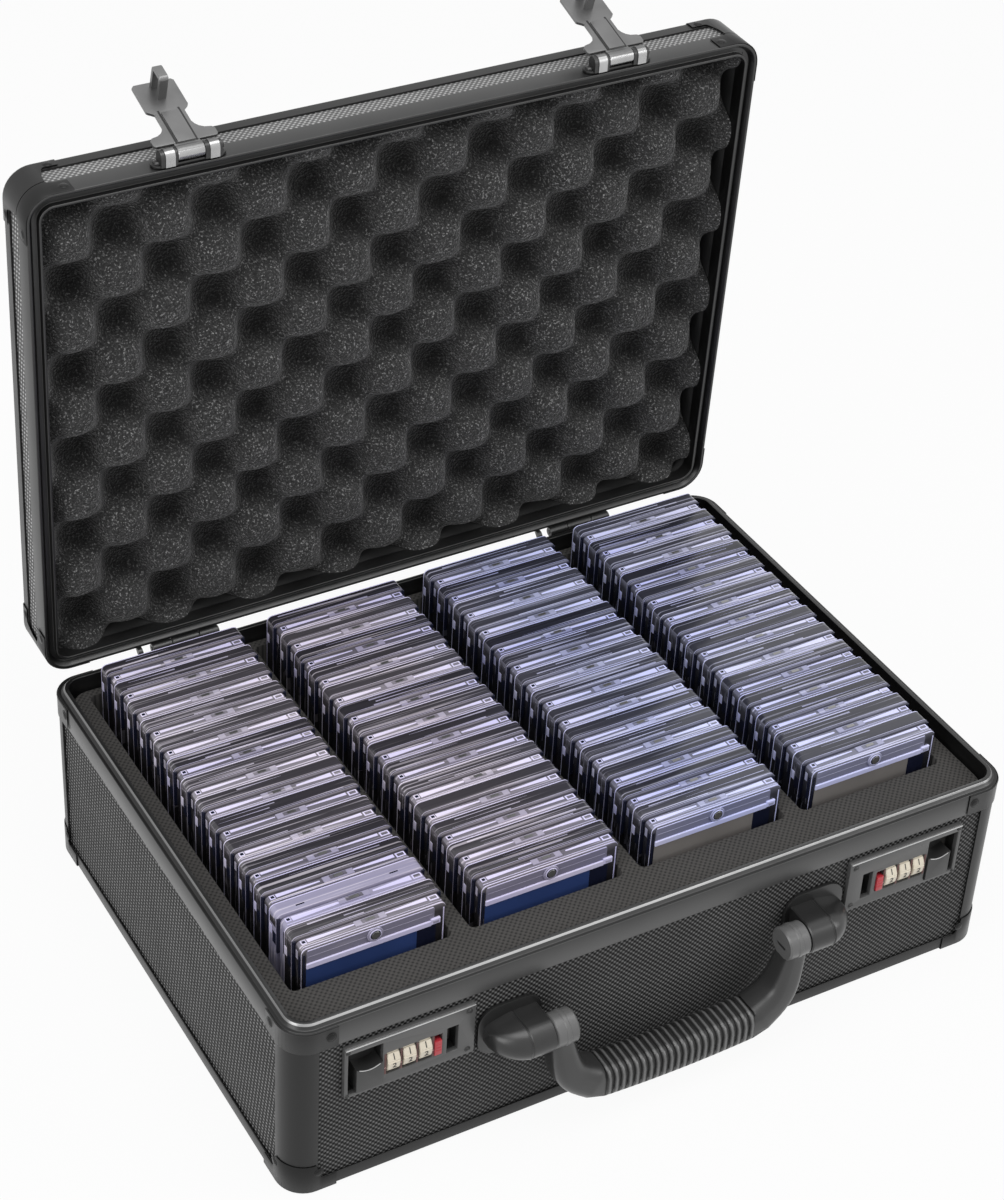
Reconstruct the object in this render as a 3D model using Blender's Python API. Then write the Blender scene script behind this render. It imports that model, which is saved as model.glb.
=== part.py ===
"""Aluminium-framed card storage case, shown open, with four rows of card holders.

Metres, +Z up. The origin is the middle of the base's underside, +X is to the right and
the locks face -Y. The lid and all that it carries are drawn closed, then turned open by
the empty on the hinge axis.
"""
import math

import bmesh
import bpy
from mathutils import Matrix, Vector

# Overall case
case_width = 0.400
case_depth = 0.282
base_height = 0.1054
lid_depth = 0.0301
corner_radius = 0.0140
corner_steps = 4
seat_gap = 0.0003
open_angle = math.radians(88)

# Panels
panel_thick = 0.0036
floor_thick = 0.0030
lid_panel_thick = 0.0030
panel_inset = 0.0012

# Frame extrusions
frame_skin = 0.0009
frame_floor_leg = 0.0010
bottom_frame_height = 0.0080
bottom_frame_leg = 0.0080
rim_frame_height = 0.0130
rim_ledge = 0.0018
tongue_slope = 0.0018
tongue_top = 0.0020
tongue_height = 0.0026
rim_web = 0.0014
post_leg_front = 0.0146
post_leg_side = 0.0154

# Lid frame
lid_rim_height = 0.0120
lid_band_height = 0.0110
groove_depth = 0.0031
groove_slack = 0.0004
lid_lip = 0.0013
lid_leg_drop = 0.0080
outer_frame_cover = 0.0070
outer_frame_ease = 0.0016

# Corner pieces
sheet_thick = 0.0008
base_cap_reach_front = 0.0243
base_cap_reach_side = 0.0264
base_cap_ear_reach = 0.0146
base_cap_ear_height = 0.0175
base_cap_band_height = 0.0080
base_cap_flange = 0.0060
ear_round = 0.0030
lid_cap_reach = 0.0256
lid_cap_ear_reach = 0.0150
lid_cap_seam = 0.0122
lid_cap_flange = 0.0055
rim_corner_reach = 0.0241
lid_rim_corner_height = 0.0100

# Foam insert and card holders
foam_side_gap = 0.0065
foam_recess = 0.0064
slot_rib = 0.0100
slot_edge = 0.0060
slot_rear_margin = 0.0117
slot_front_margin = 0.0335
holder_width = 0.0770
holder_height = 0.1120
holder_thick = 0.0165
holder_side_room = 0.0070
holder_back_half = 0.0086
holder_step = 0.0012
holder_round = 0.0030
holder_chamfer = 0.0006
holder_rear_gap = 0.0008

# Egg-crate foam in the lid
crate_thick = 0.0124
crate_valley = 0.0045
crate_period = 0.0500
crate_steps = 5
crate_origin_x = -0.0010
crate_origin_y = -0.0340
crate_side_gap = 0.0084

# Lid hinges
hinge_setback = 0.0032
hinge_left_inset = 0.0778
hinge_right_inset = 0.0808
hinge_width = 0.0380
hinge_knuckle = 0.0029
hinge_pin = 0.0012
hinge_leaf_thick = 0.0012
hinge_base_leaf = 0.0220
hinge_lid_leaf = 0.0180
hinge_middle_share = 0.4
hinge_arm = 0.0033
stop_width = 0.0026
stop_offset = 0.0058
stop_reach = 0.0065
stop_thick = 0.0012

# Combination locks
lock_inset = 0.0607
lock_drop = 0.0324
lock_width = 0.0680
lock_height = 0.0320
lock_front = 0.0016
lock_edge = 0.0006
housing_margin = 0.0010
housing_depth = 0.0150
faceplate_thick = 0.0016
wheel_radius = 0.0080
wheel_width = 0.0064
wheel_pitch = 0.0083
wheel_count = 3
wheel_proud = 0.0017
wheel_digits = 10
wheel_groove = 0.0004
wheel_slack = 0.0003
wheel_first_x = -0.0088
wheel_z = -0.0026
axle_radius = 0.0012
window_half_height = 0.0068
lever_x = 0.0144
lever_width = 0.0039
lever_height = 0.0090
lever_travel = 0.0030
lever_pocket_depth = 0.0042
lever_proud = 0.0008
slot_x = 0.0222
staple_slot_width = 0.0058
staple_slot_low = -0.0105
staple_slot_high = 0.0055
staple_slot_depth = 0.0112
thumb_pocket_left = -0.0320
thumb_pocket_right = -0.0143
thumb_pocket_low = -0.0140
thumb_pocket_high = 0.0115
thumb_travel = 0.0035
thumb_top = 0.0010
thumb_proud = 0.0010
thumb_crown = 0.0022
bar_front = 0.0056
bar_thick = 0.0026
bar_height = 0.0035
bar_leg_width = 0.0021
tongue_reach = 0.0041
tongue_low = -0.0046
tongue_high = -0.0006

# Hasps
hasp_pin_rise = 0.0036
hasp_pin_proud = 0.0055
hasp_pin_radius = 0.0014
hasp_loop_radius = 0.0035
hasp_loop_width = 0.0085
hasp_knuckle_width = 0.0136
hasp_bracket_width = 0.0385
hasp_plate_height = 0.0094
hasp_plate_thick = 0.0014
hasp_open = math.radians(165)
strap_length = 0.0452
strap_thick = 0.0016
strap_wing_width = 0.0330
strap_wing_length = 0.0060
strap_waist_width = 0.0150
strap_waist_end = 0.0240
strap_tip_width = 0.0216
strap_rib_width = 0.0090
strap_rib_proud = 0.0008
staple_width = 0.0046
staple_span = 0.0100
staple_wire = 0.0020
staple_length = 0.0132
staple_centre = 0.0380

# Handle
handle_drop = 0.0080
handle_lock_gap = 0.0023
handle_pivot_proud = 0.0130
hub_width = 0.0122
hub_radius = 0.0086
hub_bore_depth = 0.0090
pivot_radius = 0.0026
arm_drop = 0.0300
grip_z = 0.0230
grip_setback = 0.0166
grip_thick = 0.0200
grip_high = 0.0185
arm_width = 0.0125
arm_thick = 0.0140
grip_ribs = 22
rib_depth = 0.0009
boss_length = 0.0282
boss_slope = 0.0150
boss_radius = 0.0090
boss_end_radius = 0.0050
boss_plate_thick = 0.0018
boss_plate_margin = 0.0060
boss_plate_round = 0.0100

# Overrun of every cut
overrun = 0.0020

half_width = case_width / 2
half_depth = case_depth / 2
hinge_axis = Vector((0, half_depth + hinge_setback, base_height))
bottom_frame_base = sheet_thick + seat_gap
floor_base = bottom_frame_base + frame_floor_leg + seat_gap
floor_top = floor_base + floor_thick
wall_base = floor_top + seat_gap
wall_top = base_height - rim_web - seat_gap
lid_rim_low = base_height + seat_gap
lid_top = base_height + lid_depth
lid_panel_top = lid_top - panel_inset
ceiling = lid_panel_top - lid_panel_thick

# Slots and rows: as many as the foam block has room for
foam_top = base_height - foam_recess
slot_width = holder_width + holder_side_room
slot_pitch = slot_width + slot_rib
slot_count = int((case_width - 2 * (foam_side_gap + slot_edge) + slot_rib) / slot_pitch)
slot_rear = half_depth - slot_rear_margin
slot_front = slot_front_margin - half_depth
row_base = floor_top + seat_gap
row_rear = slot_rear - holder_rear_gap
holder_count = int((row_rear - slot_front) / holder_thick)
row_length = holder_count * holder_thick

# Places of the hardware
hinge_left_x = hinge_left_inset - half_width
hinge_right_x = half_width - hinge_right_inset
lock_x = half_width - lock_inset
lock_z = base_height - lock_drop
hasp_x = lock_x - slot_x
handle_pivot_z = lock_z - handle_drop
grip_depth = handle_pivot_z - grip_z
boss_outer = lock_x - lock_width / 2 - handle_lock_gap - boss_plate_margin / 2
boss_shoulder = boss_outer - boss_slope
boss_inner = boss_outer - boss_length
hub_outer = boss_inner - seat_gap
hub_inner = hub_outer - hub_width
grip_half_length = hub_inner - grip_setback

# Sides of pins and of hubs and knuckles
PIN_POINTS = 8
KNUCKLE_POINTS = 12
HUB_POINTS = 16

COLOURS = {
    "frame": ((0.085, 0.085, 0.088), 0.42, 0.85),
    "panel": ((0.030, 0.030, 0.031), 0.55, 0.30),
    "sheet": ((0.075, 0.075, 0.078), 0.38, 0.85),
    "foam": ((0.022, 0.022, 0.022), 0.95, 0.0),
    "holder": ((0.42, 0.42, 0.50), 0.12, 0.0),
    "plastic": ((0.028, 0.028, 0.029), 0.40, 0.0),
    "steel": ((0.16, 0.16, 0.165), 0.30, 0.95),
    "wheel": ((0.78, 0.72, 0.60), 0.45, 0.0),
    "lever": ((0.55, 0.03, 0.04), 0.40, 0.0),
}


def clear_scene():
    for found in list(bpy.data.objects):
        bpy.data.objects.remove(found, do_unlink=True)


def material(kind):
    found = bpy.data.materials.get(kind)
    if found:
        return found
    made = bpy.data.materials.new(kind)
    made.use_nodes = True
    colour, rough, metal = COLOURS[kind]
    shader = made.node_tree.nodes["Principled BSDF"]
    shader.inputs["Base Color"].default_value = (*colour, 1)
    shader.inputs["Roughness"].default_value = rough
    shader.inputs["Metallic"].default_value = metal
    return made


def empty(name, place, parent=None):
    made = bpy.data.objects.new(name, None)
    bpy.context.scene.collection.objects.link(made)
    made.empty_display_size = corner_radius
    if parent:
        made.parent = parent
    made.location = place
    return made


def solid(name, bm, kind, smooth=None, origin=(0, 0, 0), parent=None):
    """A named object from bm, drawn in closed-case places, with its own origin."""
    bmesh.ops.remove_doubles(bm, verts=bm.verts, dist=seat_gap / 100)
    bmesh.ops.recalc_face_normals(bm, faces=bm.faces)
    bmesh.ops.transform(bm, matrix=Matrix.Translation(-Vector(origin)), verts=bm.verts)
    mesh = bpy.data.meshes.new(name)
    bm.to_mesh(mesh)
    bm.free()
    mesh.materials.append(material(kind))
    made = bpy.data.objects.new(name, mesh)
    bpy.context.scene.collection.objects.link(made)
    if smooth:
        mesh.shade_smooth()
        mesh.set_sharp_from_angle(angle=math.radians(smooth))
    if parent:
        made.parent = parent
    else:
        made.location = origin
    return made


def change(target, tool, operation):
    """A Boolean on target by tool, which the build leaves out."""
    tool.hide_render = True
    tool.display_type = "WIRE"
    modifier = target.modifiers.new(tool.name, "BOOLEAN")
    modifier.operation = operation
    modifier.solver = "EXACT"
    modifier.object = tool


def add_box(bm, low, high):
    corners = [
        bm.verts.new((x, y, z))
        for z in (low[2], high[2])
        for x, y in ((low[0], low[1]), (high[0], low[1]), (high[0], high[1]), (low[0], high[1]))
    ]
    for ring in ((3, 2, 1, 0), (4, 5, 6, 7), (0, 1, 5, 4), (1, 2, 6, 5), (2, 3, 7, 6), (3, 0, 4, 7)):
        bm.faces.new([corners[index] for index in ring])
    return bm


def boxes(*pairs):
    bm = bmesh.new()
    for low, high in pairs:
        add_box(bm, low, high)
    return bm


def prism(points, low, high, axis="Z"):
    """An outline of (a, b) points pushed from low to high along an axis."""
    place = {
        "X": lambda a, b, c: (c, a, b),
        "Y": lambda a, b, c: (a, c, b),
        "Z": lambda a, b, c: (a, b, c),
    }[axis]
    bm = bmesh.new()
    rings = [[bm.verts.new(place(a, b, level)) for a, b in points] for level in (low, high)]
    bm.faces.new(rings[0])
    bm.faces.new(rings[1])
    count = len(points)
    for index in range(count):
        following = (index + 1) % count
        bm.faces.new((rings[0][index], rings[0][following], rings[1][following], rings[1][index]))
    return bm


def arc(centre_a, centre_b, radius, start, end, steps):
    """Points on an arc, angles in degrees."""
    found = []
    for index in range(steps + 1):
        angle = math.radians(start + (end - start) * index / steps)
        found.append((centre_a + radius * math.cos(angle), centre_b + radius * math.sin(angle)))
    return found


def rounded(half_a, half_b, radius, steps=3, centre=(0, 0)):
    """A rounded rectangle's outline."""
    found = []
    for quarter, (side_a, side_b) in enumerate(((1, 1), (-1, 1), (-1, -1), (1, -1))):
        found += arc(
            centre[0] + side_a * (half_a - radius),
            centre[1] + side_b * (half_b - radius),
            radius,
            90 * quarter,
            90 * (quarter + 1),
            steps,
        )
    return found


def loft(rings, closed=False):
    """Skins rings of points, capped at both ends unless closed."""
    bm = bmesh.new()
    made = [[bm.verts.new(point) for point in ring] for ring in rings]
    count = len(rings[0])
    pairs = list(zip(made, made[1:]))
    if closed:
        pairs.append((made[-1], made[0]))
    else:
        bm.faces.new(made[0])
        bm.faces.new(made[-1])
    for one, other in pairs:
        for index in range(count):
            following = (index + 1) % count
            bm.faces.new((one[index], one[following], other[following], other[index]))
    return bm


def perimeter():
    """Stations (x, y, normal x, normal y) round the case's outer face."""
    found = []
    for quarter, (side_x, side_y) in enumerate(((1, 1), (-1, 1), (-1, -1), (1, -1))):
        middle_x = side_x * (half_width - corner_radius)
        middle_y = side_y * (half_depth - corner_radius)
        for index in range(corner_steps + 1):
            angle = math.radians(90 * quarter + 90 * index / corner_steps)
            normal = (math.cos(angle), math.sin(angle))
            place = (middle_x + corner_radius * normal[0], middle_y + corner_radius * normal[1])
            found.append((*place, *normal))
    return found


def corner_path(side_x, side_y, reach_x, reach_y, extra=()):
    """Stations round one corner, with how far each lies along its face from the corner."""
    found = []
    for reach in sorted({reach_x, *extra}, reverse=True):
        if corner_radius < reach <= reach_x:
            found.append((side_x * (half_width - reach), side_y * half_depth, 0, side_y, reach))
    middle_x = side_x * (half_width - corner_radius)
    middle_y = side_y * (half_depth - corner_radius)
    for index in range(corner_steps + 1):
        angle = math.radians(90 * index / corner_steps)
        normal = (side_x * math.sin(angle), side_y * math.cos(angle))
        place = (middle_x + corner_radius * normal[0], middle_y + corner_radius * normal[1])
        found.append((*place, *normal, 0))
    for reach in sorted({reach_y, *extra}):
        if corner_radius < reach <= reach_y:
            found.append((side_x * half_width, side_y * (half_depth - reach), side_x, 0, reach))
    return found


def sweep(stations, profile, closed):
    """A profile of (inset, z) points carried along stations."""
    rings = []
    for station in stations:
        points = profile(station) if callable(profile) else profile
        x, y, across, along = station[:4]
        rings.append([(x - across * inset, y - along * inset, z) for inset, z in points])
    return loft(rings, closed)


def base_frames():
    profile = [
        (0, bottom_frame_base),
        (0, bottom_frame_height),
        (frame_skin, bottom_frame_height),
        (frame_skin, bottom_frame_base + frame_floor_leg),
        (bottom_frame_leg, bottom_frame_base + frame_floor_leg),
        (bottom_frame_leg, bottom_frame_base),
    ]
    solid("base_bottom_frame", sweep(perimeter(), profile, True), "frame", smooth=40)
    low = base_height - rim_frame_height
    slope = rim_ledge + tongue_slope
    inner_face = panel_inset + panel_thick + seat_gap
    tongue_end = slope + tongue_top
    profile = [
        (0, low),
        (0, base_height),
        (rim_ledge, base_height),
        (slope, base_height + tongue_height),
        (tongue_end, base_height + tongue_height),
        (tongue_end, base_height),
        (tongue_end, low),
        (inner_face, low),
        (inner_face, base_height - rim_web),
        (frame_skin, base_height - rim_web),
        (frame_skin, low),
    ]
    solid("base_rim_frame", sweep(perimeter(), profile, True), "frame", smooth=40)


def base_posts():
    """Rounded corner extrusions, whose legs cover the panels' edges."""
    low = bottom_frame_height + seat_gap
    high = base_height - rim_frame_height - seat_gap
    core = panel_inset + panel_thick
    for name, side_x, side_y in CORNERS:
        outer = arc(corner_radius, corner_radius, corner_radius, 270, 180, corner_steps)
        inner = arc(corner_radius, corner_radius, corner_radius - core, 180, 270, corner_steps)
        points = [(post_leg_front, 0)] + outer + [(0, post_leg_side)]
        points += [(frame_skin, post_leg_side), (frame_skin, corner_radius)] + inner
        points += [(corner_radius, frame_skin), (post_leg_front, frame_skin)]
        placed = [(side_x * (half_width - a), side_y * (half_depth - b)) for a, b in points]
        solid("base_post_" + name, prism(placed, low, high), "frame", smooth=40)


CORNERS = (("front_left", -1, -1), ("front_right", 1, -1), ("rear_right", 1, 1), ("rear_left", -1, 1))


def ear_height(reach, ear_reach, low, high):
    """Height of a corner piece that steps from its ear down to its band through a curve."""
    if reach <= ear_reach - ear_round:
        return high
    share = min(1, (reach - ear_reach + ear_round) / (2 * ear_round))
    return high + (low - high) * (1 - math.cos(math.pi * share)) / 2


def ear_stations(ear_reach):
    return [ear_reach + ear_round * share for share in (-1, -0.35, 0.35, 1)]


def base_caps():
    """Pressed corner guards that wrap the post's foot and the bottom frame."""
    out = -seat_gap
    for name, side_x, side_y in CORNERS:

        def profile(station):
            high = ear_height(station[4], base_cap_ear_reach, base_cap_band_height, base_cap_ear_height)
            return [
                (out - sheet_thick, high),
                (out - sheet_thick, 0),
                (base_cap_flange, 0),
                (base_cap_flange, sheet_thick),
                (out, sheet_thick),
                (out, high),
            ]

        extra = ear_stations(base_cap_ear_reach)
        path = corner_path(side_x, side_y, base_cap_reach_front, base_cap_reach_side, extra)
        solid("base_cap_" + name, sweep(path, profile, False), "sheet", smooth=40)


def base_rim_corners():
    """Pressed pieces that wrap the rim frame at the corners."""
    out = -seat_gap
    low = base_height - rim_frame_height
    profile = [(out - sheet_thick, base_height), (out - sheet_thick, low), (out, low), (out, base_height)]
    for name, side_x, side_y in CORNERS:
        path = corner_path(side_x, side_y, rim_corner_reach, rim_corner_reach)
        solid("base_rim_corner_" + name, sweep(path, profile, False), "sheet", smooth=40)


def base_panels():
    inner = half_depth - panel_inset - panel_thick
    outer = half_depth - panel_inset
    reach = half_width - corner_radius - seat_gap
    # The floor's edge is rebated over the bottom frame's leg
    bed = bottom_frame_leg + seat_gap
    steps = (
        (bed, bottom_frame_base),
        (bed, floor_base),
        (panel_inset, floor_base),
        (panel_inset, floor_top),
    )
    rings = []
    for inset, z in steps:
        outline = rounded(half_width - inset, half_depth - inset, corner_radius - inset)
        rings.append([(a, b, z) for a, b in outline])
    solid("base_floor", loft(rings), "panel")
    wall = ((-reach, -outer, wall_base), (reach, -inner, wall_top))
    front = solid("base_panel_front", boxes(wall), "panel")
    half_hole = lock_width / 2 - housing_margin + seat_gap
    rise = lock_height / 2 - housing_margin + seat_gap
    holes = boxes(
        *(
            (
                (side * lock_x - half_hole, -outer - overrun, lock_z - rise),
                (side * lock_x + half_hole, -inner + overrun, lock_z + rise),
            )
            for side in (-1, 1)
        )
    )
    change(front, solid("lock_holes", holes, "panel"), "DIFFERENCE")
    solid("base_panel_back", boxes(((-reach, inner, wall_base), (reach, outer, wall_top))), "panel")
    inner = half_width - panel_inset - panel_thick
    outer = half_width - panel_inset
    reach = half_depth - corner_radius - seat_gap
    solid("base_panel_left", boxes(((-outer, -reach, wall_base), (-inner, reach, wall_top))), "panel")
    solid("base_panel_right", boxes(((inner, -reach, wall_base), (outer, reach, wall_top))), "panel")


def slot_centre(index):
    return (index - (slot_count - 1) / 2) * slot_pitch


def foam_insert():
    """Foam block with four through slots, and room at the front for the lock housings."""
    reach_x = half_width - foam_side_gap
    reach_y = half_depth - foam_side_gap
    outline = rounded(reach_x, reach_y, corner_radius - foam_side_gap / 2)
    block = solid("base_foam", prism(outline, row_base, foam_top), "foam")
    cuts = []
    for index in range(slot_count):
        middle = slot_centre(index)
        cuts.append(
            (
                (middle - slot_width / 2, slot_front, row_base - overrun),
                (middle + slot_width / 2, slot_rear, foam_top + overrun),
            )
        )
    room = lock_width / 2
    rise = lock_height / 2
    for side in (-1, 1):
        cuts.append(
            (
                (side * lock_x - room, -reach_y - overrun, lock_z - rise),
                (side * lock_x + room, -half_depth + housing_depth + seat_gap, lock_z + rise),
            )
        )
    change(block, solid("foam_cuts", boxes(*cuts), "foam"), "DIFFERENCE")


def card_rows():
    """Clear magnetic holders, standing face to face in each slot."""
    half = holder_width / 2
    top = row_base + holder_height
    for index in range(slot_count):
        middle = slot_centre(index) + (slot_width - holder_width) / 2 - seat_gap

        def section(y, inset):
            low = row_base
            high = top - inset
            side = half - inset
            soft = holder_round
            points = [(-side, low), (side, low), (side, high - soft), (side - soft, high)]
            points += [(soft - side, high), (-side, high - soft)]
            return [(middle + a, y, b) for a, b in points]

        # Each holder's back half stands proud of its front half all round
        rings = []
        for holder in range(holder_count):
            back = row_rear - holder * holder_thick
            seam = back - holder_back_half
            rings.append(section(back, holder_step))
            rings.append(section(back - holder_chamfer, 0))
            rings.append(section(seam, 0))
            rings.append(section(seam - holder_chamfer, holder_step))
        rings.append(section(row_rear - row_length, holder_step))
        origin = (middle, row_rear - row_length / 2, row_base)
        solid("card_row_%d" % (index + 1), loft(rings), "holder", origin=origin)


def lid_solid(name, bm, kind, smooth=None):
    return solid(name, bm, kind, smooth, origin=hinge_axis, parent=bpy.data.objects["lid_pivot"])


def lid_frames():
    band_low = lid_rim_low + lid_rim_height - seat_gap
    band_high = band_low + lid_band_height
    groove_end = rim_ledge + tongue_slope + tongue_top + groove_slack
    lip_end = groove_end + lid_lip
    profile = [
        (0, lid_rim_low),
        (rim_ledge - groove_slack, lid_rim_low),
        (rim_ledge + tongue_slope - groove_slack, lid_rim_low + groove_depth),
        (groove_end, lid_rim_low + groove_depth),
        (groove_end, lid_rim_low),
        (lip_end, lid_rim_low),
        (lip_end, lid_rim_low + lid_leg_drop),
        (panel_inset + panel_thick + seat_gap, lid_rim_low + lid_leg_drop),
        (panel_inset + panel_thick + seat_gap, lid_rim_low + groove_depth + rim_web),
        (frame_skin, lid_rim_low + groove_depth + rim_web),
        (frame_skin, band_low),
        (0, band_low),
    ]
    lid_solid("lid_rim_frame", sweep(perimeter(), profile, True), "frame", 40)
    low = lid_rim_low + groove_depth + rim_web + seat_gap
    high = ceiling - seat_gap
    profile = [
        (panel_inset, low),
        (panel_inset, high),
        (panel_inset + panel_thick, high),
        (panel_inset + panel_thick, low),
    ]
    lid_solid("lid_wall", sweep(perimeter(), profile, True), "panel", 40)
    cover = lid_panel_top + seat_gap
    profile = [
        (0, band_high),
        (0, lid_top - outer_frame_ease),
        (outer_frame_ease, lid_top),
        (outer_frame_cover, lid_top),
        (outer_frame_cover, cover),
        (frame_skin, cover),
        (frame_skin, band_high),
    ]
    lid_solid("lid_outer_frame", sweep(perimeter(), profile, True), "frame", 40)


def lid_corners():
    """Two pressed pieces on each lid corner, meeting at a seam."""
    out = -seat_gap
    seam = base_height + lid_cap_seam
    for name, side_x, side_y in CORNERS:

        def outer_profile(station):
            low = seam + ear_height(station[4], lid_cap_ear_reach, lid_rim_height, 0)
            low = min(low, lid_top - outer_frame_ease)
            return [
                (out - sheet_thick, low),
                (out - sheet_thick, lid_top - outer_frame_ease),
                (outer_frame_ease, lid_top + seat_gap + sheet_thick),
                (lid_cap_flange, lid_top + seat_gap + sheet_thick),
                (lid_cap_flange, lid_top + seat_gap),
                (outer_frame_ease + out, lid_top + seat_gap),
                (out, lid_top - outer_frame_ease + out),
                (out, low),
            ]

        def rim_profile(station):
            rise = lid_cap_seam - seat_gap
            high = base_height + ear_height(station[4], lid_cap_ear_reach, lid_rim_corner_height, rise)
            skin = out - sheet_thick
            return [(skin, lid_rim_low), (skin, high), (out, high), (out, lid_rim_low)]

        path = corner_path(side_x, side_y, lid_cap_reach, lid_cap_reach, ear_stations(lid_cap_ear_reach))
        lid_solid("lid_cap_" + name, sweep(path, outer_profile, False), "sheet", 40)
        extra = ear_stations(lid_cap_ear_reach)
        path = corner_path(side_x, side_y, rim_corner_reach, rim_corner_reach, extra)
        lid_solid("lid_rim_corner_" + name, sweep(path, rim_profile, False), "sheet", 40)


def lid_panel():
    reach_x = half_width - panel_inset
    reach_y = half_depth - panel_inset
    outline = rounded(reach_x, reach_y, corner_radius - panel_inset, corner_steps)
    lid_solid("lid_panel", prism(outline, ceiling, lid_panel_top), "panel")


def crate_depth(x, y):
    """How far the egg-crate foam stands from the lid's ceiling: peaks and pits take turns."""
    turn = 2 * math.pi / crate_period
    wave = math.cos(turn * (x - crate_origin_x)) * math.cos(turn * (y - crate_origin_y))
    return crate_valley + (crate_thick - crate_valley) * (0.5 + 0.5 * wave)


def crate_foam():
    """Convoluted foam sheet: a height field with a flat back."""
    reach_x = half_width - crate_side_gap
    reach_y = half_depth - crate_side_gap
    step = crate_period / crate_steps
    count_x = max(2, round(2 * reach_x / step))
    count_y = max(2, round(2 * reach_y / step))
    back = ceiling - seat_gap
    bm = bmesh.new()
    lower = []
    upper = []
    for row in range(count_y + 1):
        y = reach_y * (2 * row / count_y - 1)
        line = []
        for column in range(count_x + 1):
            x = reach_x * (2 * column / count_x - 1)
            line.append(bm.verts.new((x, y, back - crate_depth(x, y))))
        lower.append(line)
        upper.append([bm.verts.new((sign * reach_x, y, back)) for sign in (-1, 1)])
    for row in range(count_y):
        for column in range(count_x):
            near, far = lower[row], lower[row + 1]
            bm.faces.new((near[column], far[column], far[column + 1], near[column + 1]))
        bm.faces.new((upper[row][0], upper[row][1], upper[row + 1][1], upper[row + 1][0]))
        bm.faces.new((lower[row][0], upper[row][0], upper[row + 1][0], lower[row + 1][0]))
        bm.faces.new((lower[row + 1][-1], upper[row + 1][1], upper[row][1], lower[row][-1]))
    bm.faces.new([upper[0][0]] + lower[0] + [upper[0][1]])
    bm.faces.new([upper[-1][1]] + lower[-1][::-1] + [upper[-1][0]])
    lid_solid("lid_foam", bm, "foam", 60)


def disc(radius, start, end, points, centre=(0, 0), bore=0, turn=0):
    """A cylinder along X, with an optional bore."""
    rings = []
    for size, level in ((radius, start), (radius, end)):
        rings.append(circle(size, level, points, centre, turn))
    if not bore:
        return loft(rings)
    rings.append(circle(bore, end, points, centre, turn))
    rings.append(circle(bore, start, points, centre, turn))
    return loft(rings, closed=True)


def circle(radius, level, points, centre=(0, 0), turn=0):
    found = []
    for index in range(points):
        angle = 2 * math.pi * (index + turn) / points
        found.append((level, centre[0] + radius * math.cos(angle), centre[1] + radius * math.sin(angle)))
    return found


def hinge_cuts(middle):
    """Start and end along X of the base's two knuckles and the lid's one between them."""
    half = hinge_width / 2
    inner = half * hinge_middle_share
    outer = inner + seat_gap
    low = (middle - half, middle - outer)
    high = (middle + outer, middle + half)
    return [low, (middle - inner, middle + inner), high]


def hinge_stop(start):
    """Bent arm of the lid's leaf that meets the base's back face when the lid is open."""
    axis_y = hinge_axis.y
    face = -hinge_knuckle
    cosine = math.cos(open_angle)
    sine = math.sin(open_angle)
    foot = [(face, -stop_reach), (face + stop_thick, -stop_reach), (face + stop_thick, face / 2)]
    bent = [(a * cosine - b * sine, a * sine + b * cosine) for a, b in foot]
    bend = arc(0, 0, hinge_knuckle, 180, 180 + math.degrees(open_angle), 4)
    inner = face + hinge_leaf_thick
    points = [(inner, hinge_arm * 2), (face, hinge_arm * 2)] + bend + bent + [(inner, hinge_arm / 2)]
    placed = [(axis_y + a, base_height + b) for a, b in points]
    return prism(placed, start - stop_offset - stop_width, start - stop_offset, "X")


def hinges():
    axis_y = hinge_axis.y
    face = axis_y - hinge_knuckle
    for name, middle in (("left", hinge_left_x), ("right", hinge_right_x)):
        spans = hinge_cuts(middle)
        start = spans[0][0]
        end = spans[-1][1]
        base = solid(
            "hinge_base_leaf_" + name,
            boxes(
                (
                    (start, face, base_height - hinge_base_leaf),
                    (end, face + hinge_leaf_thick, base_height - hinge_arm),
                )
            ),
            "steel",
        )
        lid = lid_solid(
            "hinge_lid_leaf_" + name,
            boxes(
                (
                    (start, face, base_height + hinge_arm),
                    (end, face + hinge_leaf_thick, base_height + hinge_lid_leaf),
                )
            ),
            "steel",
        )
        wing = boxes(
            (
                (start - stop_offset - 2 * stop_width, face + seat_gap / 4, base_height + hinge_arm * 1.5),
                (start + overrun, face + hinge_leaf_thick - seat_gap / 4, base_height + hinge_lid_leaf * 0.8),
            )
        )
        change(lid, lid_solid("hinge_wing_" + name, wing, "steel"), "UNION")
        change(lid, lid_solid("hinge_stop_" + name, hinge_stop(start), "steel"), "UNION")
        for index, (low, high) in enumerate(spans):
            part, side = ((base, -1), (lid, 1))[index % 2]
            tool = disc(hinge_knuckle, low, high, KNUCKLE_POINTS, (axis_y, base_height), turn=0.5)
            ends = sorted((base_height, base_height + side * (hinge_arm + hinge_leaf_thick)))
            arm = boxes(((low, face, ends[0]), (high, face + hinge_leaf_thick, ends[1])))
            make = lid_solid if side > 0 else solid
            change(part, make("knuckle_%s_%d" % (name, index), tool, "steel"), "UNION")
            change(part, make("arm_%s_%d" % (name, index), arm, "steel"), "UNION")
        pin = disc(hinge_pin, start + seat_gap, end - seat_gap, PIN_POINTS, (axis_y, base_height))
        change(base, solid("hinge_pin_" + name, pin, "steel"), "UNION")
        bore = disc(hinge_pin + seat_gap, start - overrun, end + overrun, PIN_POINTS, (axis_y, base_height))
        change(lid, lid_solid("hinge_bore_" + name, bore, "steel"), "DIFFERENCE")


def lock_parts():
    for name, side in (("left", -1), ("right", 1)):
        lock_plate(name, side)
        lock_wheels(name, side)
        lock_slide(name, side)
        lock_lever(name, side)


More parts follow.
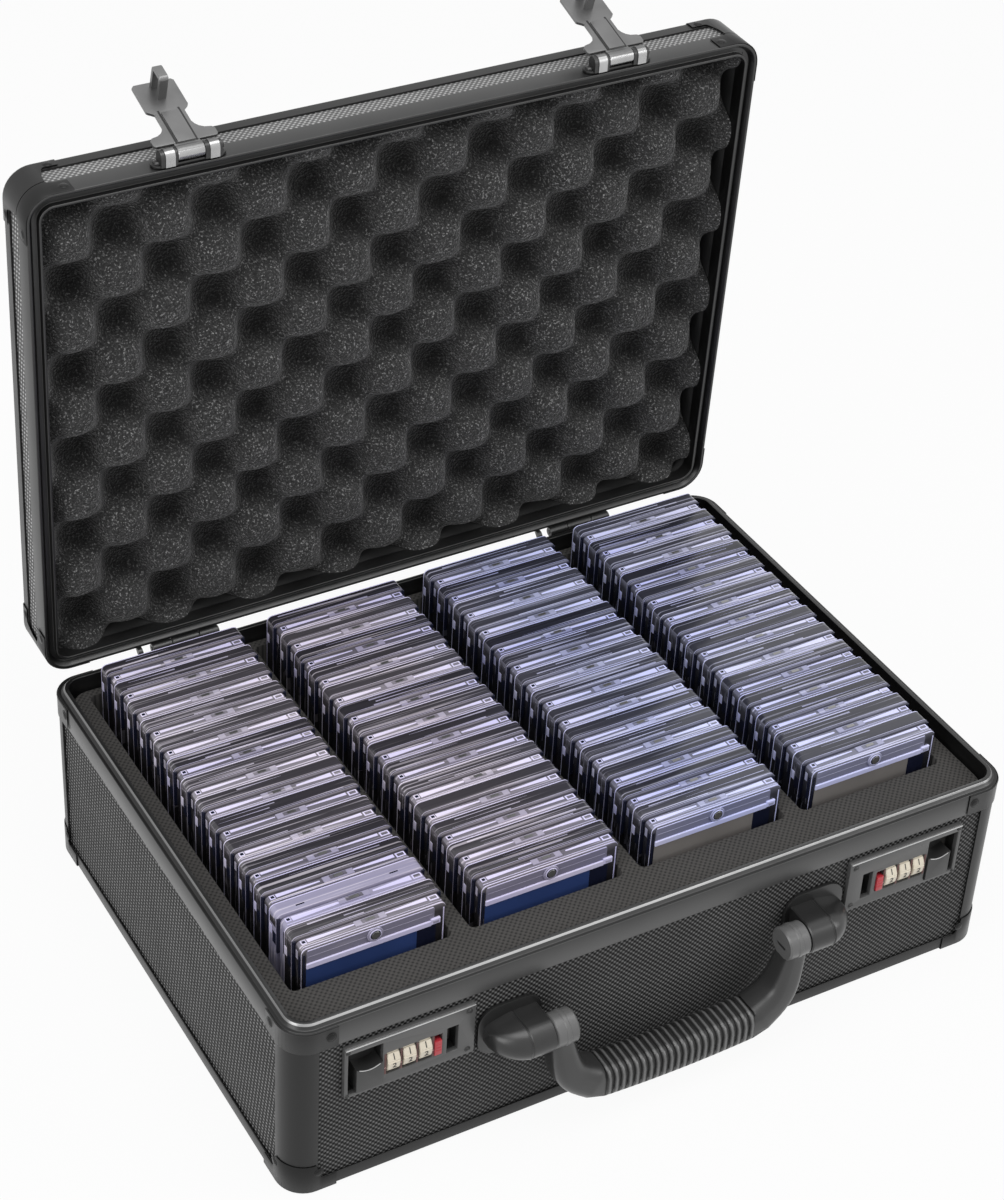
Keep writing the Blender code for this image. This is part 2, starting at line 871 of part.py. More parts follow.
def lock_span(side, low, high):
    """A lock's own x from its middle, mirrored for the right-hand lock."""
    ends = (side * lock_x - side * low, side * lock_x - side * high)
    return min(ends), max(ends)


def lock_box(side, x_low, x_high, depth_low, depth_high, z_low, z_high):
    """A box given by the lock's own x, the depth behind the case's face and the height from its middle."""
    low, high = lock_span(side, x_low, x_high)
    return ((low, depth_low - half_depth, lock_z + z_low), (high, depth_high - half_depth, lock_z + z_high))


def wheel_place(index):
    return wheel_first_x + index * wheel_pitch


def wheel_depth():
    """Depth of the wheels' axle behind the case's face."""
    return wheel_radius - lock_front - wheel_proud


def lock_plate(name, side):
    """Faceplate and housing in one, with windows, pockets and the wheels' axle."""
    half = lock_width / 2
    rise = lock_height / 2
    back = panel_inset - seat_gap
    plate = []
    for inset, depth in ((0, back), (0, lock_edge - lock_front), (lock_edge, -lock_front)):
        plate.append(
            [
                (side * lock_x + a, depth - half_depth, lock_z + b)
                for a, b in rounded(half - inset, rise - inset, lock_edge * 2 - inset, 2)
            ]
        )
    part = solid("lock_plate_" + name, loft(plate), "plastic")
    margin = housing_margin
    housing = lock_box(side, margin - half, half - margin, 0, housing_depth, margin - rise, rise - margin)
    change(part, solid("lock_housing_" + name, boxes(housing), "plastic"), "UNION")
    pocket_front = faceplate_thick - lock_front
    pocket_back = wheel_depth() + wheel_radius + wheel_slack
    pockets = []
    windows = []
    for index in range(wheel_count):
        middle = wheel_place(index)
        reach = wheel_width / 2 + wheel_slack
        low = wheel_z - wheel_radius - wheel_slack
        high = wheel_z + wheel_radius + wheel_slack
        pockets.append(lock_box(side, middle - reach, middle + reach, pocket_front, pocket_back, low, high))
        windows.append(
            lock_box(
                side,
                middle - reach,
                middle + reach,
                -lock_front - overrun,
                pocket_front + overrun,
                wheel_z - window_half_height,
                wheel_z + window_half_height,
            )
        )
    lever_low = wheel_z - lever_height / 2 - lever_travel / 2
    reach = lever_width / 2 + seat_gap
    windows.append(
        lock_box(
            side,
            lever_x - reach,
            lever_x + reach,
            -lock_front - overrun,
            lever_pocket_depth,
            lever_low - seat_gap,
            lever_low + lever_height + lever_travel + seat_gap,
        )
    )
    windows.append(
        lock_box(
            side,
            slot_x - staple_slot_width / 2,
            slot_x + staple_slot_width / 2,
            -lock_front - overrun,
            staple_slot_depth,
            staple_slot_low,
            staple_slot_high,
        )
    )
    recess_back = bar_front + bar_thick + seat_gap
    windows.append(
        lock_box(
            side,
            thumb_pocket_left,
            thumb_pocket_right,
            -lock_front - overrun,
            recess_back,
            thumb_pocket_low,
            thumb_pocket_high,
        )
    )
    change(part, solid("lock_pockets_" + name, boxes(*pockets), "plastic"), "DIFFERENCE")
    change(part, solid("lock_windows_" + name, boxes(*windows), "plastic"), "DIFFERENCE")
    bar_end = slot_x - staple_slot_width / 2
    leg_low = bar_end - seat_gap - bar_leg_width - thumb_travel - seat_gap
    bar_top = thumb_pocket_high
    channel = boxes(
        lock_box(
            side,
            thumb_pocket_right - overrun,
            bar_end + overrun / 2,
            bar_front - seat_gap,
            recess_back,
            bar_top - bar_height - 2 * seat_gap,
            bar_top,
        )
    )
    change(part, solid("lock_channel_" + name, channel, "plastic"), "DIFFERENCE")
    leg_room = boxes(
        lock_box(
            side,
            leg_low,
            bar_end + overrun / 2,
            bar_front - seat_gap,
            recess_back,
            tongue_low - seat_gap,
            bar_top - bar_height,
        )
    )
    change(part, solid("lock_leg_room_" + name, leg_room, "plastic"), "DIFFERENCE")
    left = wheel_place(0) - wheel_pitch / 2 - seat_gap
    right = wheel_place(wheel_count - 1) + wheel_pitch / 2
    low, high = lock_span(side, left, right)
    axle = disc(axle_radius, low, high, PIN_POINTS, (wheel_depth() - half_depth, lock_z + wheel_z), turn=0.5)
    change(part, solid("lock_axle_" + name, axle, "plastic"), "UNION")


def lock_wheels(name, side):
    """Number wheels: ten flats, with a shallow groove between each pair."""
    for index in range(wheel_count):
        middle = side * lock_x - side * wheel_place(index)
        start = middle - wheel_width / 2
        end = middle + wheel_width / 2
        rings = []
        for level, bored in ((start, False), (end, False), (end, True), (start, True)):
            ring = []
            for point in range(2 * wheel_digits):
                angle = 2 * math.pi * (point + 0.5) / (2 * wheel_digits)
                size = axle_radius + wheel_slack if bored else wheel_radius - wheel_groove * (point % 2)
                ring.append((level, size * math.cos(angle), size * math.sin(angle)))
            rings.append(ring)
        bm = loft(rings, closed=True)
        centre = (0, wheel_depth() - half_depth, lock_z + wheel_z)
        bmesh.ops.transform(bm, matrix=Matrix.Translation(centre), verts=bm.verts)
        origin = (middle, centre[1], centre[2])
        solid("lock_wheel_%s_%d" % (name, index + 1), bm, "wheel", origin=origin)


def lock_slide(name, side):
    """Thumb piece with a hidden bar, whose tongue holds the hasp's staple."""
    left = thumb_pocket_left + seat_gap + thumb_travel
    right = thumb_pocket_right - seat_gap
    low = thumb_pocket_low + seat_gap
    back = bar_front + bar_thick
    points = [(left, low), (right, low), (right, thumb_top)]
    points += [
        (left + (right - left) * share, thumb_top - thumb_crown * math.sin(math.pi * share))
        for share in (0.8, 0.6, 0.4, 0.2)
    ]
    points.append((left, thumb_top))
    placed = [(side * lock_x - side * a, lock_z + b) for a, b in points]
    bm = prism(placed, -lock_front - thumb_proud - half_depth, back - half_depth, "Y")
    origin = (side * lock_x, -half_depth, lock_z)
    part = solid("lock_slide_" + name, bm, "plastic", origin=origin)

    def add(tool_name, box):
        tool = solid(tool_name + "_" + name, boxes(box), "plastic", origin=origin, parent=part)
        change(part, tool, "UNION")

    top = thumb_pocket_high - seat_gap
    bar_end = slot_x - staple_slot_width / 2 - seat_gap
    inset = seat_gap / 2
    front = bar_front + inset
    leg = bar_end - bar_leg_width
    half_leg = bar_end - bar_leg_width / 2
    floor_back = back - seat_gap
    bar_low = top - bar_height
    floor_low = low + seat_gap
    floor_left = left + seat_gap
    floor_right = right - seat_gap
    add("slide_floor", lock_box(side, floor_left, floor_right, bar_front, floor_back, floor_low, top))
    add("slide_bar", lock_box(side, right - overrun, bar_end, bar_front, back, bar_low, top - seat_gap))
    leg_top = bar_low + bar_height / 2
    add("slide_leg", lock_box(side, leg, bar_end - inset, front, back - inset, tongue_low, leg_top))
    catch = lock_box(
        side,
        half_leg,
        bar_end + tongue_reach,
        front + inset,
        back - seat_gap,
        tongue_low + inset,
        tongue_high,
    )
    add("slide_tongue", catch)


def lock_lever(name, side):
    """Small reset lever beside the wheels."""
    low = wheel_z - lever_height / 2 - lever_travel / 2
    reach = lever_width / 2
    front = -lock_front - lever_proud
    back = lever_pocket_depth - seat_gap
    ease = lever_proud
    points = [(back, low), (front + ease, low), (front, low + ease), (front, low + lever_height - ease)]
    points += [(front + ease, low + lever_height), (back, low + lever_height)]
    start, end = lock_span(side, lever_x - reach, lever_x + reach)
    bm = prism([(a - half_depth, lock_z + b) for a, b in points], start, end, "X")
    middle = (start + end) / 2
    solid("lock_lever_" + name, bm, "lever", origin=(middle, -half_depth, lock_z + wheel_z))


def hasp_pin():
    return Vector((0, -half_depth - hasp_pin_proud, base_height + hasp_pin_rise))


def hasps():
    for name, side in (("left", -1), ("right", 1)):
        hasp_bracket(name, side * hasp_x)
        hasp_strap(name, side * hasp_x)


def hasp_bracket(name, middle):
    """Riveted plate with an ear at each end, two curled loops and the pin."""
    pin = hasp_pin()
    half = hasp_bracket_width / 2
    rise = hasp_plate_height / 2
    face = -half_depth - seat_gap
    centre = lid_rim_low + seat_gap + rise
    ear = rise * 0.8
    outline = arc(middle - half + ear, centre, ear, 270, 90, 6)
    outline += arc(middle + half - ear, centre, ear, 90, -90, 6)
    part = lid_solid("hasp_bracket_" + name, prism(outline, face - hasp_plate_thick, face, "Y"), "steel", 40)
    inner = hasp_knuckle_width / 2 + seat_gap
    outer = inner + hasp_loop_width
    for index, (low, high) in enumerate(((-outer, -inner), (inner, outer))):
        curl = arc(pin.y, pin.z, hasp_loop_radius, 90, 270, 8)
        root = face - hasp_plate_thick / 2
        curl = [(root, pin.z + hasp_loop_radius)] + curl + [(root, pin.z - hasp_loop_radius)]
        loop = prism(curl, middle + low, middle + high, "X")
        change(part, lid_solid("hasp_loop_%s_%d" % (name, index), loop, "steel"), "UNION")
    start = middle - outer + seat_gap
    rod = disc(hasp_pin_radius, start, middle + outer + hasp_pin_radius, PIN_POINTS, (pin.y, pin.z))
    change(part, lid_solid("hasp_pin_" + name, rod, "steel"), "UNION")


def strap_outline():
    """Half of the strap, as (distance from the pin, half width)."""
    start = hasp_loop_radius + seat_gap
    wing = start + strap_wing_length
    return [
        (start, strap_wing_width / 2),
        (wing, strap_wing_width / 2),
        (wing + strap_wing_length / 2, strap_waist_width / 2 + strap_wing_length / 2),
        (wing + strap_wing_length, strap_waist_width / 2),
        (strap_waist_end, strap_waist_width / 2),
        (strap_waist_end + strap_wing_length / 4, strap_tip_width / 2),
        (strap_length, strap_tip_width / 2),
    ]


def hasp_strap(name, middle):
    """Strap that drops over the lock, with a looped staple on its inner face."""
    pin = hasp_pin()
    pivot = bpy.data.objects["hasp_pivot_" + name]
    face = -half_depth - lock_front - seat_gap - strap_rib_proud

    def placed(tool_name, bm, smooth=None):
        origin = pin + Vector((middle, 0, 0))
        return solid(tool_name, bm, "steel", smooth, origin=origin, parent=pivot)

    half = strap_outline()
    outline = [(middle + width, pin.z - along) for along, width in half]
    outline += [(middle - width, pin.z - along) for along, width in reversed(half)]
    part = placed("hasp_strap_" + name, prism(outline, face - strap_thick, face, "Y"))
    start = middle - hasp_knuckle_width / 2
    end = middle + hasp_knuckle_width / 2
    knuckle = disc(hasp_loop_radius, start, end, HUB_POINTS, (pin.y, pin.z), turn=0.5)
    change(part, placed("strap_knuckle_" + name, knuckle), "UNION")
    skin = seat_gap / 2
    foot = pin.z - hasp_loop_radius - strap_wing_length
    neck = boxes(((start + skin, face - strap_thick + skin, foot), (end - skin, face - skin, pin.z)))
    change(part, placed("strap_neck_" + name, neck), "UNION")
    rib = boxes(
        (
            (middle - strap_rib_width / 2, face - strap_thick / 2, pin.z - strap_waist_end),
            (middle + strap_rib_width / 2, face + strap_rib_proud, pin.z - hasp_loop_radius),
        )
    )
    change(part, placed("strap_rib_" + name, rib), "UNION")
    centre = pin.z - staple_centre
    high = centre + staple_span / 2
    low = centre - staple_span / 2
    tip = face + staple_length
    bend = tip - staple_wire
    root = face - strap_thick / 2
    loop = [(root, low), (bend, low), (tip, low + staple_wire), (tip, high - staple_wire), (bend, high)]
    loop += [(root, high), (root, high - staple_wire), (bend, high - staple_wire)]
    loop += [(bend, low + staple_wire), (root, low + staple_wire)]
    staple = prism(loop, middle - staple_width / 2, middle + staple_width / 2, "X")
    change(part, placed("strap_staple_" + name, staple), "UNION")
    bore = disc(
        hasp_pin_radius + seat_gap,
        middle - strap_wing_width,
        middle + strap_wing_width,
        PIN_POINTS,
        (pin.y, pin.z),
    )
    change(part, placed("strap_bore_" + name, bore), "DIFFERENCE")


def handle_arm():
    """Left arm from the hub down to the grip: x, z, width and thickness of each section."""
    low = handle_pivot_z - grip_depth
    bend = arm_drop / 2
    arm_x = (hub_inner + hub_outer) / 2
    shoulder = handle_pivot_z - hub_radius
    found = [(-arm_x, handle_pivot_z, arm_width, arm_thick)]
    for share, bend_share in ((0, 0), (0.5, 0.25), (0.75, 0.6)):
        width = arm_width + (grip_high - arm_width) * share
        thick = arm_thick + (grip_thick - arm_thick) * share
        found.append((bend * bend_share - arm_x, shoulder - (shoulder - low) * share, width, thick))
    found.append((-grip_half_length - bend / 3, low + bend / 8, grip_high, grip_thick))
    return found


def handle_grip():
    """D-shaped grip with finger ribs, lofted from hub to hub."""
    pivot_y = -half_depth - handle_pivot_proud
    half = handle_arm()
    rings = []
    for index, (x, z, width, thick) in enumerate(half):
        before = half[max(0, index - 1)]
        after = half[min(len(half) - 1, index + 1)]
        along = Vector((after[0] - before[0], 0, after[1] - before[1])).normalized()
        rings.append((Vector((x, pivot_y, z)), along, width, thick))
    low = handle_pivot_z - grip_depth
    ribs = []
    for index in range(2 * grip_ribs + 1):
        share = index / (2 * grip_ribs)
        x = grip_half_length * (2 * share - 1)
        sag = grip_high / 12 * (1 - (2 * share - 1) ** 2)
        cut = rib_depth * (index % 2 == 0)
        ribs.append((Vector((x, pivot_y, low - sag)), Vector((1, 0, 0)), grip_high - cut, grip_thick - cut))
    mirrored = [
        (Vector((-place.x, place.y, place.z)), Vector((along.x, 0, -along.z)), width, thick)
        for place, along, width, thick in reversed(rings)
    ]
    sections = []
    for place, along, width, thick in rings + ribs + mirrored:
        across = Vector((-along.z, 0, along.x))
        ring = []
        for a, b in rounded(thick / 2, width / 2, min(thick, width) / 3, 2):
            ring.append(place + Vector((0, a, 0)) + across * b)
        sections.append(ring)
    part = solid("handle_grip", loft(sections), "plastic", 50, origin=(0, pivot_y, handle_pivot_z))
    for name, side in (("left", -1), ("right", 1)):
        ends = sorted((side * hub_inner, side * hub_outer))
        hub = disc(hub_radius, *ends, HUB_POINTS, (pivot_y, handle_pivot_z))
        change(part, solid("handle_hub_" + name, hub, "plastic"), "UNION")
        ends = sorted((side * (hub_outer - hub_bore_depth), side * (hub_outer + overrun)))
        bore = disc(pivot_radius + seat_gap, *ends, 12, (pivot_y, handle_pivot_z))
        change(part, solid("handle_bore_" + name, bore, "plastic"), "DIFFERENCE")


def handle_bosses():
    """Mounts with a short barrel, a sloping rounded end and an oval foot on the panel."""
    pivot_y = -half_depth - handle_pivot_proud
    seat = -half_depth + panel_inset - seat_gap
    for name, side in (("left", -1), ("right", 1)):
        rings = []
        middle = (boss_shoulder + boss_outer) / 2
        for x, share in ((boss_inner, 0), (boss_shoulder, 0), (middle, 0.45), (boss_outer, 1)):
            radius = boss_radius + (boss_end_radius - boss_radius) * share
            front = pivot_y + (seat - boss_plate_thick - radius - pivot_y) * share
            points = arc(front, handle_pivot_z, radius, 90, 270, 10)
            points = [(seat - seat_gap, points[0][1])] + points + [(seat - seat_gap, points[-1][1])]
            rings.append([(side * x, a, b) for a, b in points])
        part = solid("handle_boss_" + name, loft(rings), "plastic", 50)
        middle = side * (boss_inner + boss_outer) / 2
        half = (boss_outer - boss_inner) / 2 + boss_plate_margin / 2
        rise = boss_radius + boss_plate_margin
        outline = rounded(half, rise, boss_plate_round, 5, (middle, handle_pivot_z))
        foot = prism(outline, seat - boss_plate_thick, seat, "Y")
        change(part, solid("boss_foot_" + name, foot, "plastic"), "UNION")
        ends = sorted((side * (hub_outer - hub_bore_depth + seat_gap), side * (boss_inner + overrun)))
        pin = disc(pivot_radius, *ends, 12, (pivot_y, handle_pivot_z))
        change(part, solid("boss_pin_" + name, pin, "plastic"), "UNION")


def main():
    clear_scene()
    lid_pivot = empty("lid_pivot", hinge_axis)
    for name, side in (("left", -1), ("right", 1)):
        place = hasp_pin() - hinge_axis + Vector((side * hasp_x, 0, 0))
        hasp_pivot = empty("hasp_pivot_" + name, place, lid_pivot)
        hasp_pivot.rotation_euler.x = -hasp_open
    base_frames()
    base_posts()
    base_caps()
    base_rim_corners()
    base_panels()
    foam_insert()
    card_rows()
    lid_frames()
    lid_corners()
    lid_panel()
    crate_foam()
    hinges()
    lock_parts()
    hasps()
    handle_grip()
    handle_bosses()
    lid_pivot.rotation_euler.x = -open_angle


main()
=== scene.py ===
import math
import random

import bmesh
import bpy
from mathutils import Matrix, Vector, geometry, noise


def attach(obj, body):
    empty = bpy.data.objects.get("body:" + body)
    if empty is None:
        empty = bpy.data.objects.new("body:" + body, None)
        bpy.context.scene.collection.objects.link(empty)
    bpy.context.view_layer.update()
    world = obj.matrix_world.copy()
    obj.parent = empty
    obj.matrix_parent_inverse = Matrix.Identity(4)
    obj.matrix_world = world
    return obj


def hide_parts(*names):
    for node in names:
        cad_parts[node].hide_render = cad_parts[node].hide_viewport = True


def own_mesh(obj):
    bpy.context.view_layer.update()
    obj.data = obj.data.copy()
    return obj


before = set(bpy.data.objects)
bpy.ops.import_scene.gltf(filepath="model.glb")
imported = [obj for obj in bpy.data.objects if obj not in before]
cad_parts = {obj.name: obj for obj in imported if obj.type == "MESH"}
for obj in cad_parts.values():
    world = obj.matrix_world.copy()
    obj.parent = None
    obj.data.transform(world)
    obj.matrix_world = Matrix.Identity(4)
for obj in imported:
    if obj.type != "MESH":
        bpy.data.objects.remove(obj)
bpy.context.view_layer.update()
print("loaded the case's frame")

case = dict(halfX=0.200, halfY=0.141, baseTop=0.1054, lidTop=0.1355, corner=0.0140, cornerSteps=10,
            sheet=0.0003, gap=0.0003, lidAngle=88, hingeBehind=0.0032, floorTop=0.0057, ceiling=0.1313)
halfX, halfY, baseTop, lidTop = case["halfX"], case["halfY"], case["baseTop"], case["lidTop"]
gap, sheet = case["gap"], case["sheet"]
skinOut = -gap - sheet
lidLow = baseTop + gap
# small steps that keep faces apart
hair, thread = 0.0001, 0.0002
cornerNames = {"front_left": (-1, -1), "front_right": (1, -1), "rear_right": (1, 1), "rear_left": (-1, 1)}
quarters = ((1, 1), (-1, 1), (-1, -1), (1, -1))
sides = {"left": -1, "right": 1}
hingeAxis = Vector((0, halfY + case["hingeBehind"], baseTop))


def turnAbout(point, degrees):
    turn = Matrix.Rotation(math.radians(degrees), 4, "X")
    return Matrix.Translation(point) @ turn @ Matrix.Translation(-point)


openLid = turnAbout(hingeAxis, -case["lidAngle"])


def addObject(name, data):
    made = bpy.data.objects.new(name, data)
    bpy.context.scene.collection.objects.link(made)
    return made


# Camera and lamps

camera = dict(place=(-0.58495, -0.92053, 1.00998), azimuth=29.31, down=35.97, roll=2.10, lens=83.448,
              sensor=36, shift=(0.075, -0.04544), clip=(0.05, 30))
lamps = {
    # place, target, size, watts
    "overhead": ((-0.1, -0.3, 1.9), (0, 0, 0.1), (1.6, 1.2), 18),
    "leftSide": ((-1.7, -0.5, 1.0), (0, 0, 0.15), (1.0, 1.2), 12),
    "rightSide": ((1.6, -1.2, 1.1), (0, 0, 0.1), (0.8, 1.2), 11),
}


def addCamera():
    lens = bpy.data.cameras.new("camera")
    lens.lens, lens.sensor_width = camera["lens"], camera["sensor"]
    lens.shift_x, lens.shift_y = camera["shift"]
    lens.clip_start, lens.clip_end = camera["clip"]
    azimuth, down, roll = (math.radians(camera[key]) for key in ("azimuth", "down", "roll"))
    ahead = Vector((math.sin(azimuth) * math.cos(down), math.cos(azimuth) * math.cos(down), -math.sin(down)))
    across = Vector((math.cos(azimuth), -math.sin(azimuth), 0))
    up = across.cross(ahead)
    right = across * math.cos(roll) + up * math.sin(roll)
    top = up * math.cos(roll) - across * math.sin(roll)
    matrix = Matrix((right, top, -ahead)).transposed().to_4x4()
    matrix.translation = camera["place"]
    made = addObject("camera", lens)
    made.matrix_world = matrix
    bpy.context.scene.camera = made


def addLamp(name, place, target, size, watts):
    lamp = bpy.data.lights.new(name, "AREA")
    lamp.shape = "RECTANGLE"
    lamp.size, lamp.size_y = size
    lamp.energy = watts
    made = addObject(name, lamp)
    made.location = place
    made.rotation_euler = (Vector(target) - Vector(place)).to_track_quat("-Z", "Y").to_euler()


# A wire carries a shader socket through sums


def operator(name):
    return lambda self, *others: self.sum(name, *others)


class Wire:
    def __init__(self, nodes, socket):
        self.nodes = nodes
        self.socket = socket

    def sum(self, operation, *others):
        return self.nodes.node("Math", {"operation": operation}, dict(enumerate((self, *others))))

    def __rsub__(self, other):
        return self.nodes.node("Math", {"operation": "SUBTRACT"}, {0: other, 1: self})

    __add__ = __radd__ = operator("ADD")
    __sub__ = operator("SUBTRACT")
    __mul__ = operator("MULTIPLY")
    __pow__ = operator("POWER")
    __gt__ = operator("GREATER_THAN")
    __abs__ = operator("ABSOLUTE")


class Nodes:
    def __init__(self, tree):
        self.tree = tree

    def feed(self, socket, value):
        if isinstance(value, Wire):
            self.tree.links.new(value.socket, socket)
        elif socket.type == "RGBA" and len(value) == 3:
            socket.default_value = (*value, 1)
        else:
            socket.default_value = value

    def node(self, kind, settings=None, values=None, out=0):
        made = self.tree.nodes.new("ShaderNode" + kind)
        for key, value in (settings or {}).items():
            if key == "stops":
                ramp = made.color_ramp.elements
                while len(ramp) < len(value):
                    ramp.new(0.5)
                for element, (place, colour) in zip(ramp, value):
                    element.position = place
                    element.color = (*colour, 1)
            else:
                setattr(made, key, value)
        for key, value in (values or {}).items():
            self.feed(made.inputs[key], value)
        return Wire(self, made.outputs[out])

    def seenPlainly(self):
        # 1 for rays that come from the camera, a mirror or clear matter
        path = self.tree.nodes.new("ShaderNodeLightPath")
        seen, *others = (Wire(self, path.outputs["Is %s Ray" % way]) for way in stage["plainly"])
        for other in others:
            seen = seen.sum("MAXIMUM", other)
        return seen


socketNames = dict(colour="Base Color", rough="Roughness", metal="Metallic", coat="Coat Weight",
                   normal="Normal", coatRough="Coat Roughness", sheen="Sheen Weight",
                   shine="Specular IOR Level")


class Finish(Nodes):
    def __init__(self, name, **fixed):
        self.material = bpy.data.materials.new(name)
        self.material.use_nodes = True
        super().__init__(self.material.node_tree)
        self.tree.nodes.clear()
        self.shader = self.tree.nodes.new("ShaderNodeBsdfPrincipled")
        self.output = self.tree.nodes.new("ShaderNodeOutputMaterial")
        self.tree.links.new(self.shader.outputs[0], self.output.inputs[0])
        for key, value in fixed.items():
            self.set(key, value)

    def set(self, key, value):
        self.feed(self.shader.inputs[socketNames[key]], value)
        return self

    def place(self):
        return self.node("TexCoord", out="Object")

    def split(self, vector):
        parts = self.node("SeparateXYZ", values={0: vector})
        return [Wire(self, output) for output in parts.socket.node.outputs]

    def facing(self):
        return self.split(self.node("TexCoord", out="Normal"))

    def remap(self, value, low, high):
        return self.node("MapRange", values={"Value": value, "From Min": low, "From Max": high})

    def grain(self, scale, detail=2.0, rough=0.5, vector=None):
        values = {"Vector": vector or self.place(), "Scale": scale, "Detail": detail, "Roughness": rough}
        return self.node("TexNoise", values=values)

    def blend(self, one, other, factor, way="MIX"):
        return self.node("Mix", {"data_type": "RGBA", "blend_type": way}, {0: factor, 6: one, 7: other}, 2)

    def ramp(self, factor, *stops):
        return self.node("ValToRGB", {"stops": stops}, {0: factor})

    def bump(self, height, distance, strength=1.0):
        values = {"Height": height, "Distance": distance, "Strength": strength}
        return self.set("normal", self.node("Bump", values=values))

    def faceGrid(self):
        # flat coordinates of whichever way a face looks: along the case, then up or across
        x, y, z = self.split(self.place())
        lookX, lookY, lookZ = self.facing()
        sideways = abs(lookX) > 0.7
        upward = abs(lookZ) > 0.7
        return x + sideways * (y - x), z + upward * (y - z), sideways


def tone(level, tint=(1, 1, 1)):
    return tuple(level * part for part in tint)


stage = dict(ambient=0.50, white=(1, 1, 1, 1), floorTone=0.62, floorRough=0.9, floorShine=0.1, glow=0.94,
             radius=6, points=64, drop=-0.0004, plainly=("Camera", "Glossy", "Transmission"))


def addStage():
    world = bpy.data.worlds.new("studio")
    world.use_nodes = True
    bpy.context.scene.world = world
    sky = Nodes(world.node_tree)
    background = sky.tree.nodes["Background"]
    sky.feed(background.inputs["Color"], stage["white"])
    strength = sky.node("MapRange", values={"Value": sky.seenPlainly(), "To Min": stage["ambient"]})
    sky.feed(background.inputs["Strength"], strength)
    floor = Finish("studioFloor", colour=tone(stage["floorTone"]), rough=stage["floorRough"],
                   shine=stage["floorShine"])
    glow = floor.node("Emission", values={"Color": stage["white"], "Strength": 1.0})
    body = Wire(floor, floor.shader.outputs[0])
    mixed = floor.node("MixShader", values={0: floor.seenPlainly() * stage["glow"], 1: body, 2: glow})
    floor.tree.links.new(mixed.socket, floor.output.inputs[0])
    bm = bmesh.new()
    bmesh.ops.create_circle(bm, cap_ends=True, radius=stage["radius"], segments=stage["points"])
    mesh = bpy.data.meshes.new("studioFloor")
    bm.to_mesh(mesh)
    bm.free()
    mesh.materials.append(floor.material)
    made = addObject("studioFloor", mesh)
    made.location.z = stage["drop"]


addCamera()
addStage()
for name, values in lamps.items():
    addLamp(name, *values)
bpy.context.scene.view_settings.view_transform = "Standard"
print("camera, floor and lamps are set")

# Mesh tools


def filleted(points, radius, steps=3):
    # an outline whose corners are eased; straight ones stay as they are
    made = []
    for index, point in enumerate(points):
        here = Vector(point)
        before = Vector(points[index - 1]) - here
        after = Vector(points[(index + 1) % len(points)]) - here
        if before.angle(after) > 3.0:
            made.append(tuple(here))
            continue
        reach = min(radius, before.length * 0.45, after.length * 0.45)
        start = here + before.normalized() * reach
        end = here + after.normalized() * reach
        for step in range(steps + 1):
            share = step / steps
            made.append(tuple(start * (1 - share) ** 2 + here * 2 * share * (1 - share) + end * share**2))
    return made


def arc(centreA, centreB, radius, start, end, steps):
    angles = [math.radians(start + (end - start) * index / steps) for index in range(steps + 1)]
    return [(centreA + radius * math.cos(angle), centreB + radius * math.sin(angle)) for angle in angles]


def roundedBox(halfA, halfB, radius, steps=4, centre=(0, 0)):
    made = []
    for quarter, (sideA, sideB) in enumerate(quarters):
        middle = (centre[0] + sideA * (halfA - radius), centre[1] + sideB * (halfB - radius))
        made += arc(*middle, radius, 90 * quarter, 90 * (quarter + 1), steps)
    return made


def bridge(bm, one, other, kind):
    for index in range(len(one)):
        following = (index + 1) % len(one)
        bm.faces.new((one[index], one[following], other[following], other[index])).material_index = kind


def loft(bm, rings, closed=False, kind=0):
    made = [[bm.verts.new(point) for point in ring] for ring in rings]
    if closed:
        made.append(made[0])
    else:
        for ring in (made[0], made[-1]):
            bm.faces.new(ring).material_index = kind
    for one, other in zip(made, made[1:]):
        bridge(bm, one, other, kind)
    return bm


axisPlace = {"X": lambda a, b, c: (c, a, b), "Y": lambda a, b, c: (a, c, b), "Z": lambda a, b, c: (a, b, c)}


def prism(bm, outline, low, high, axis="Z", kind=0):
    return loft(bm, [[axisPlace[axis](a, b, level) for a, b in outline] for level in (low, high)], kind=kind)


def disc(bm, radius, low, high, centre, axis="X", points=24, ease=0.0, kind=0):
    # a round bar whose end edges are eased
    rings = []
    for size, level in ((radius - ease, low), (radius, low + ease), (radius, high - ease),
                        (radius - ease, high)):
        angles = [2 * math.pi * (index + 0.5) / points for index in range(points)]
        spots = [(centre[0] + size * math.cos(angle), centre[1] + size * math.sin(angle)) for angle in angles]
        rings.append([axisPlace[axis](*spot, level) for spot in spots])
    return loft(bm, rings if ease else rings[1:3], kind=kind)


def join(bm, part, kind=0, matrix=None):
    # moves all of part into bm
    copies = {vert: bm.verts.new(matrix @ vert.co if matrix else vert.co) for vert in part.verts}
    for face in part.faces:
        bm.faces.new([copies[vert] for vert in face.verts]).material_index = kind
    part.free()
    return bm


def box(bm, low, high, ease=0.0, kind=0, segments=2):
    # a block whose edges are eased
    part = bmesh.new()
    loft(part, [[(low[0], low[1], z), (high[0], low[1], z), (high[0], high[1], z), (low[0], high[1], z)]
                for z in (low[2], high[2])])
    if ease:
        bmesh.ops.bevel(part, geom=part.edges[:], offset=ease, segments=segments, profile=0.7, affect="EDGES")
    return join(bm, part, kind)


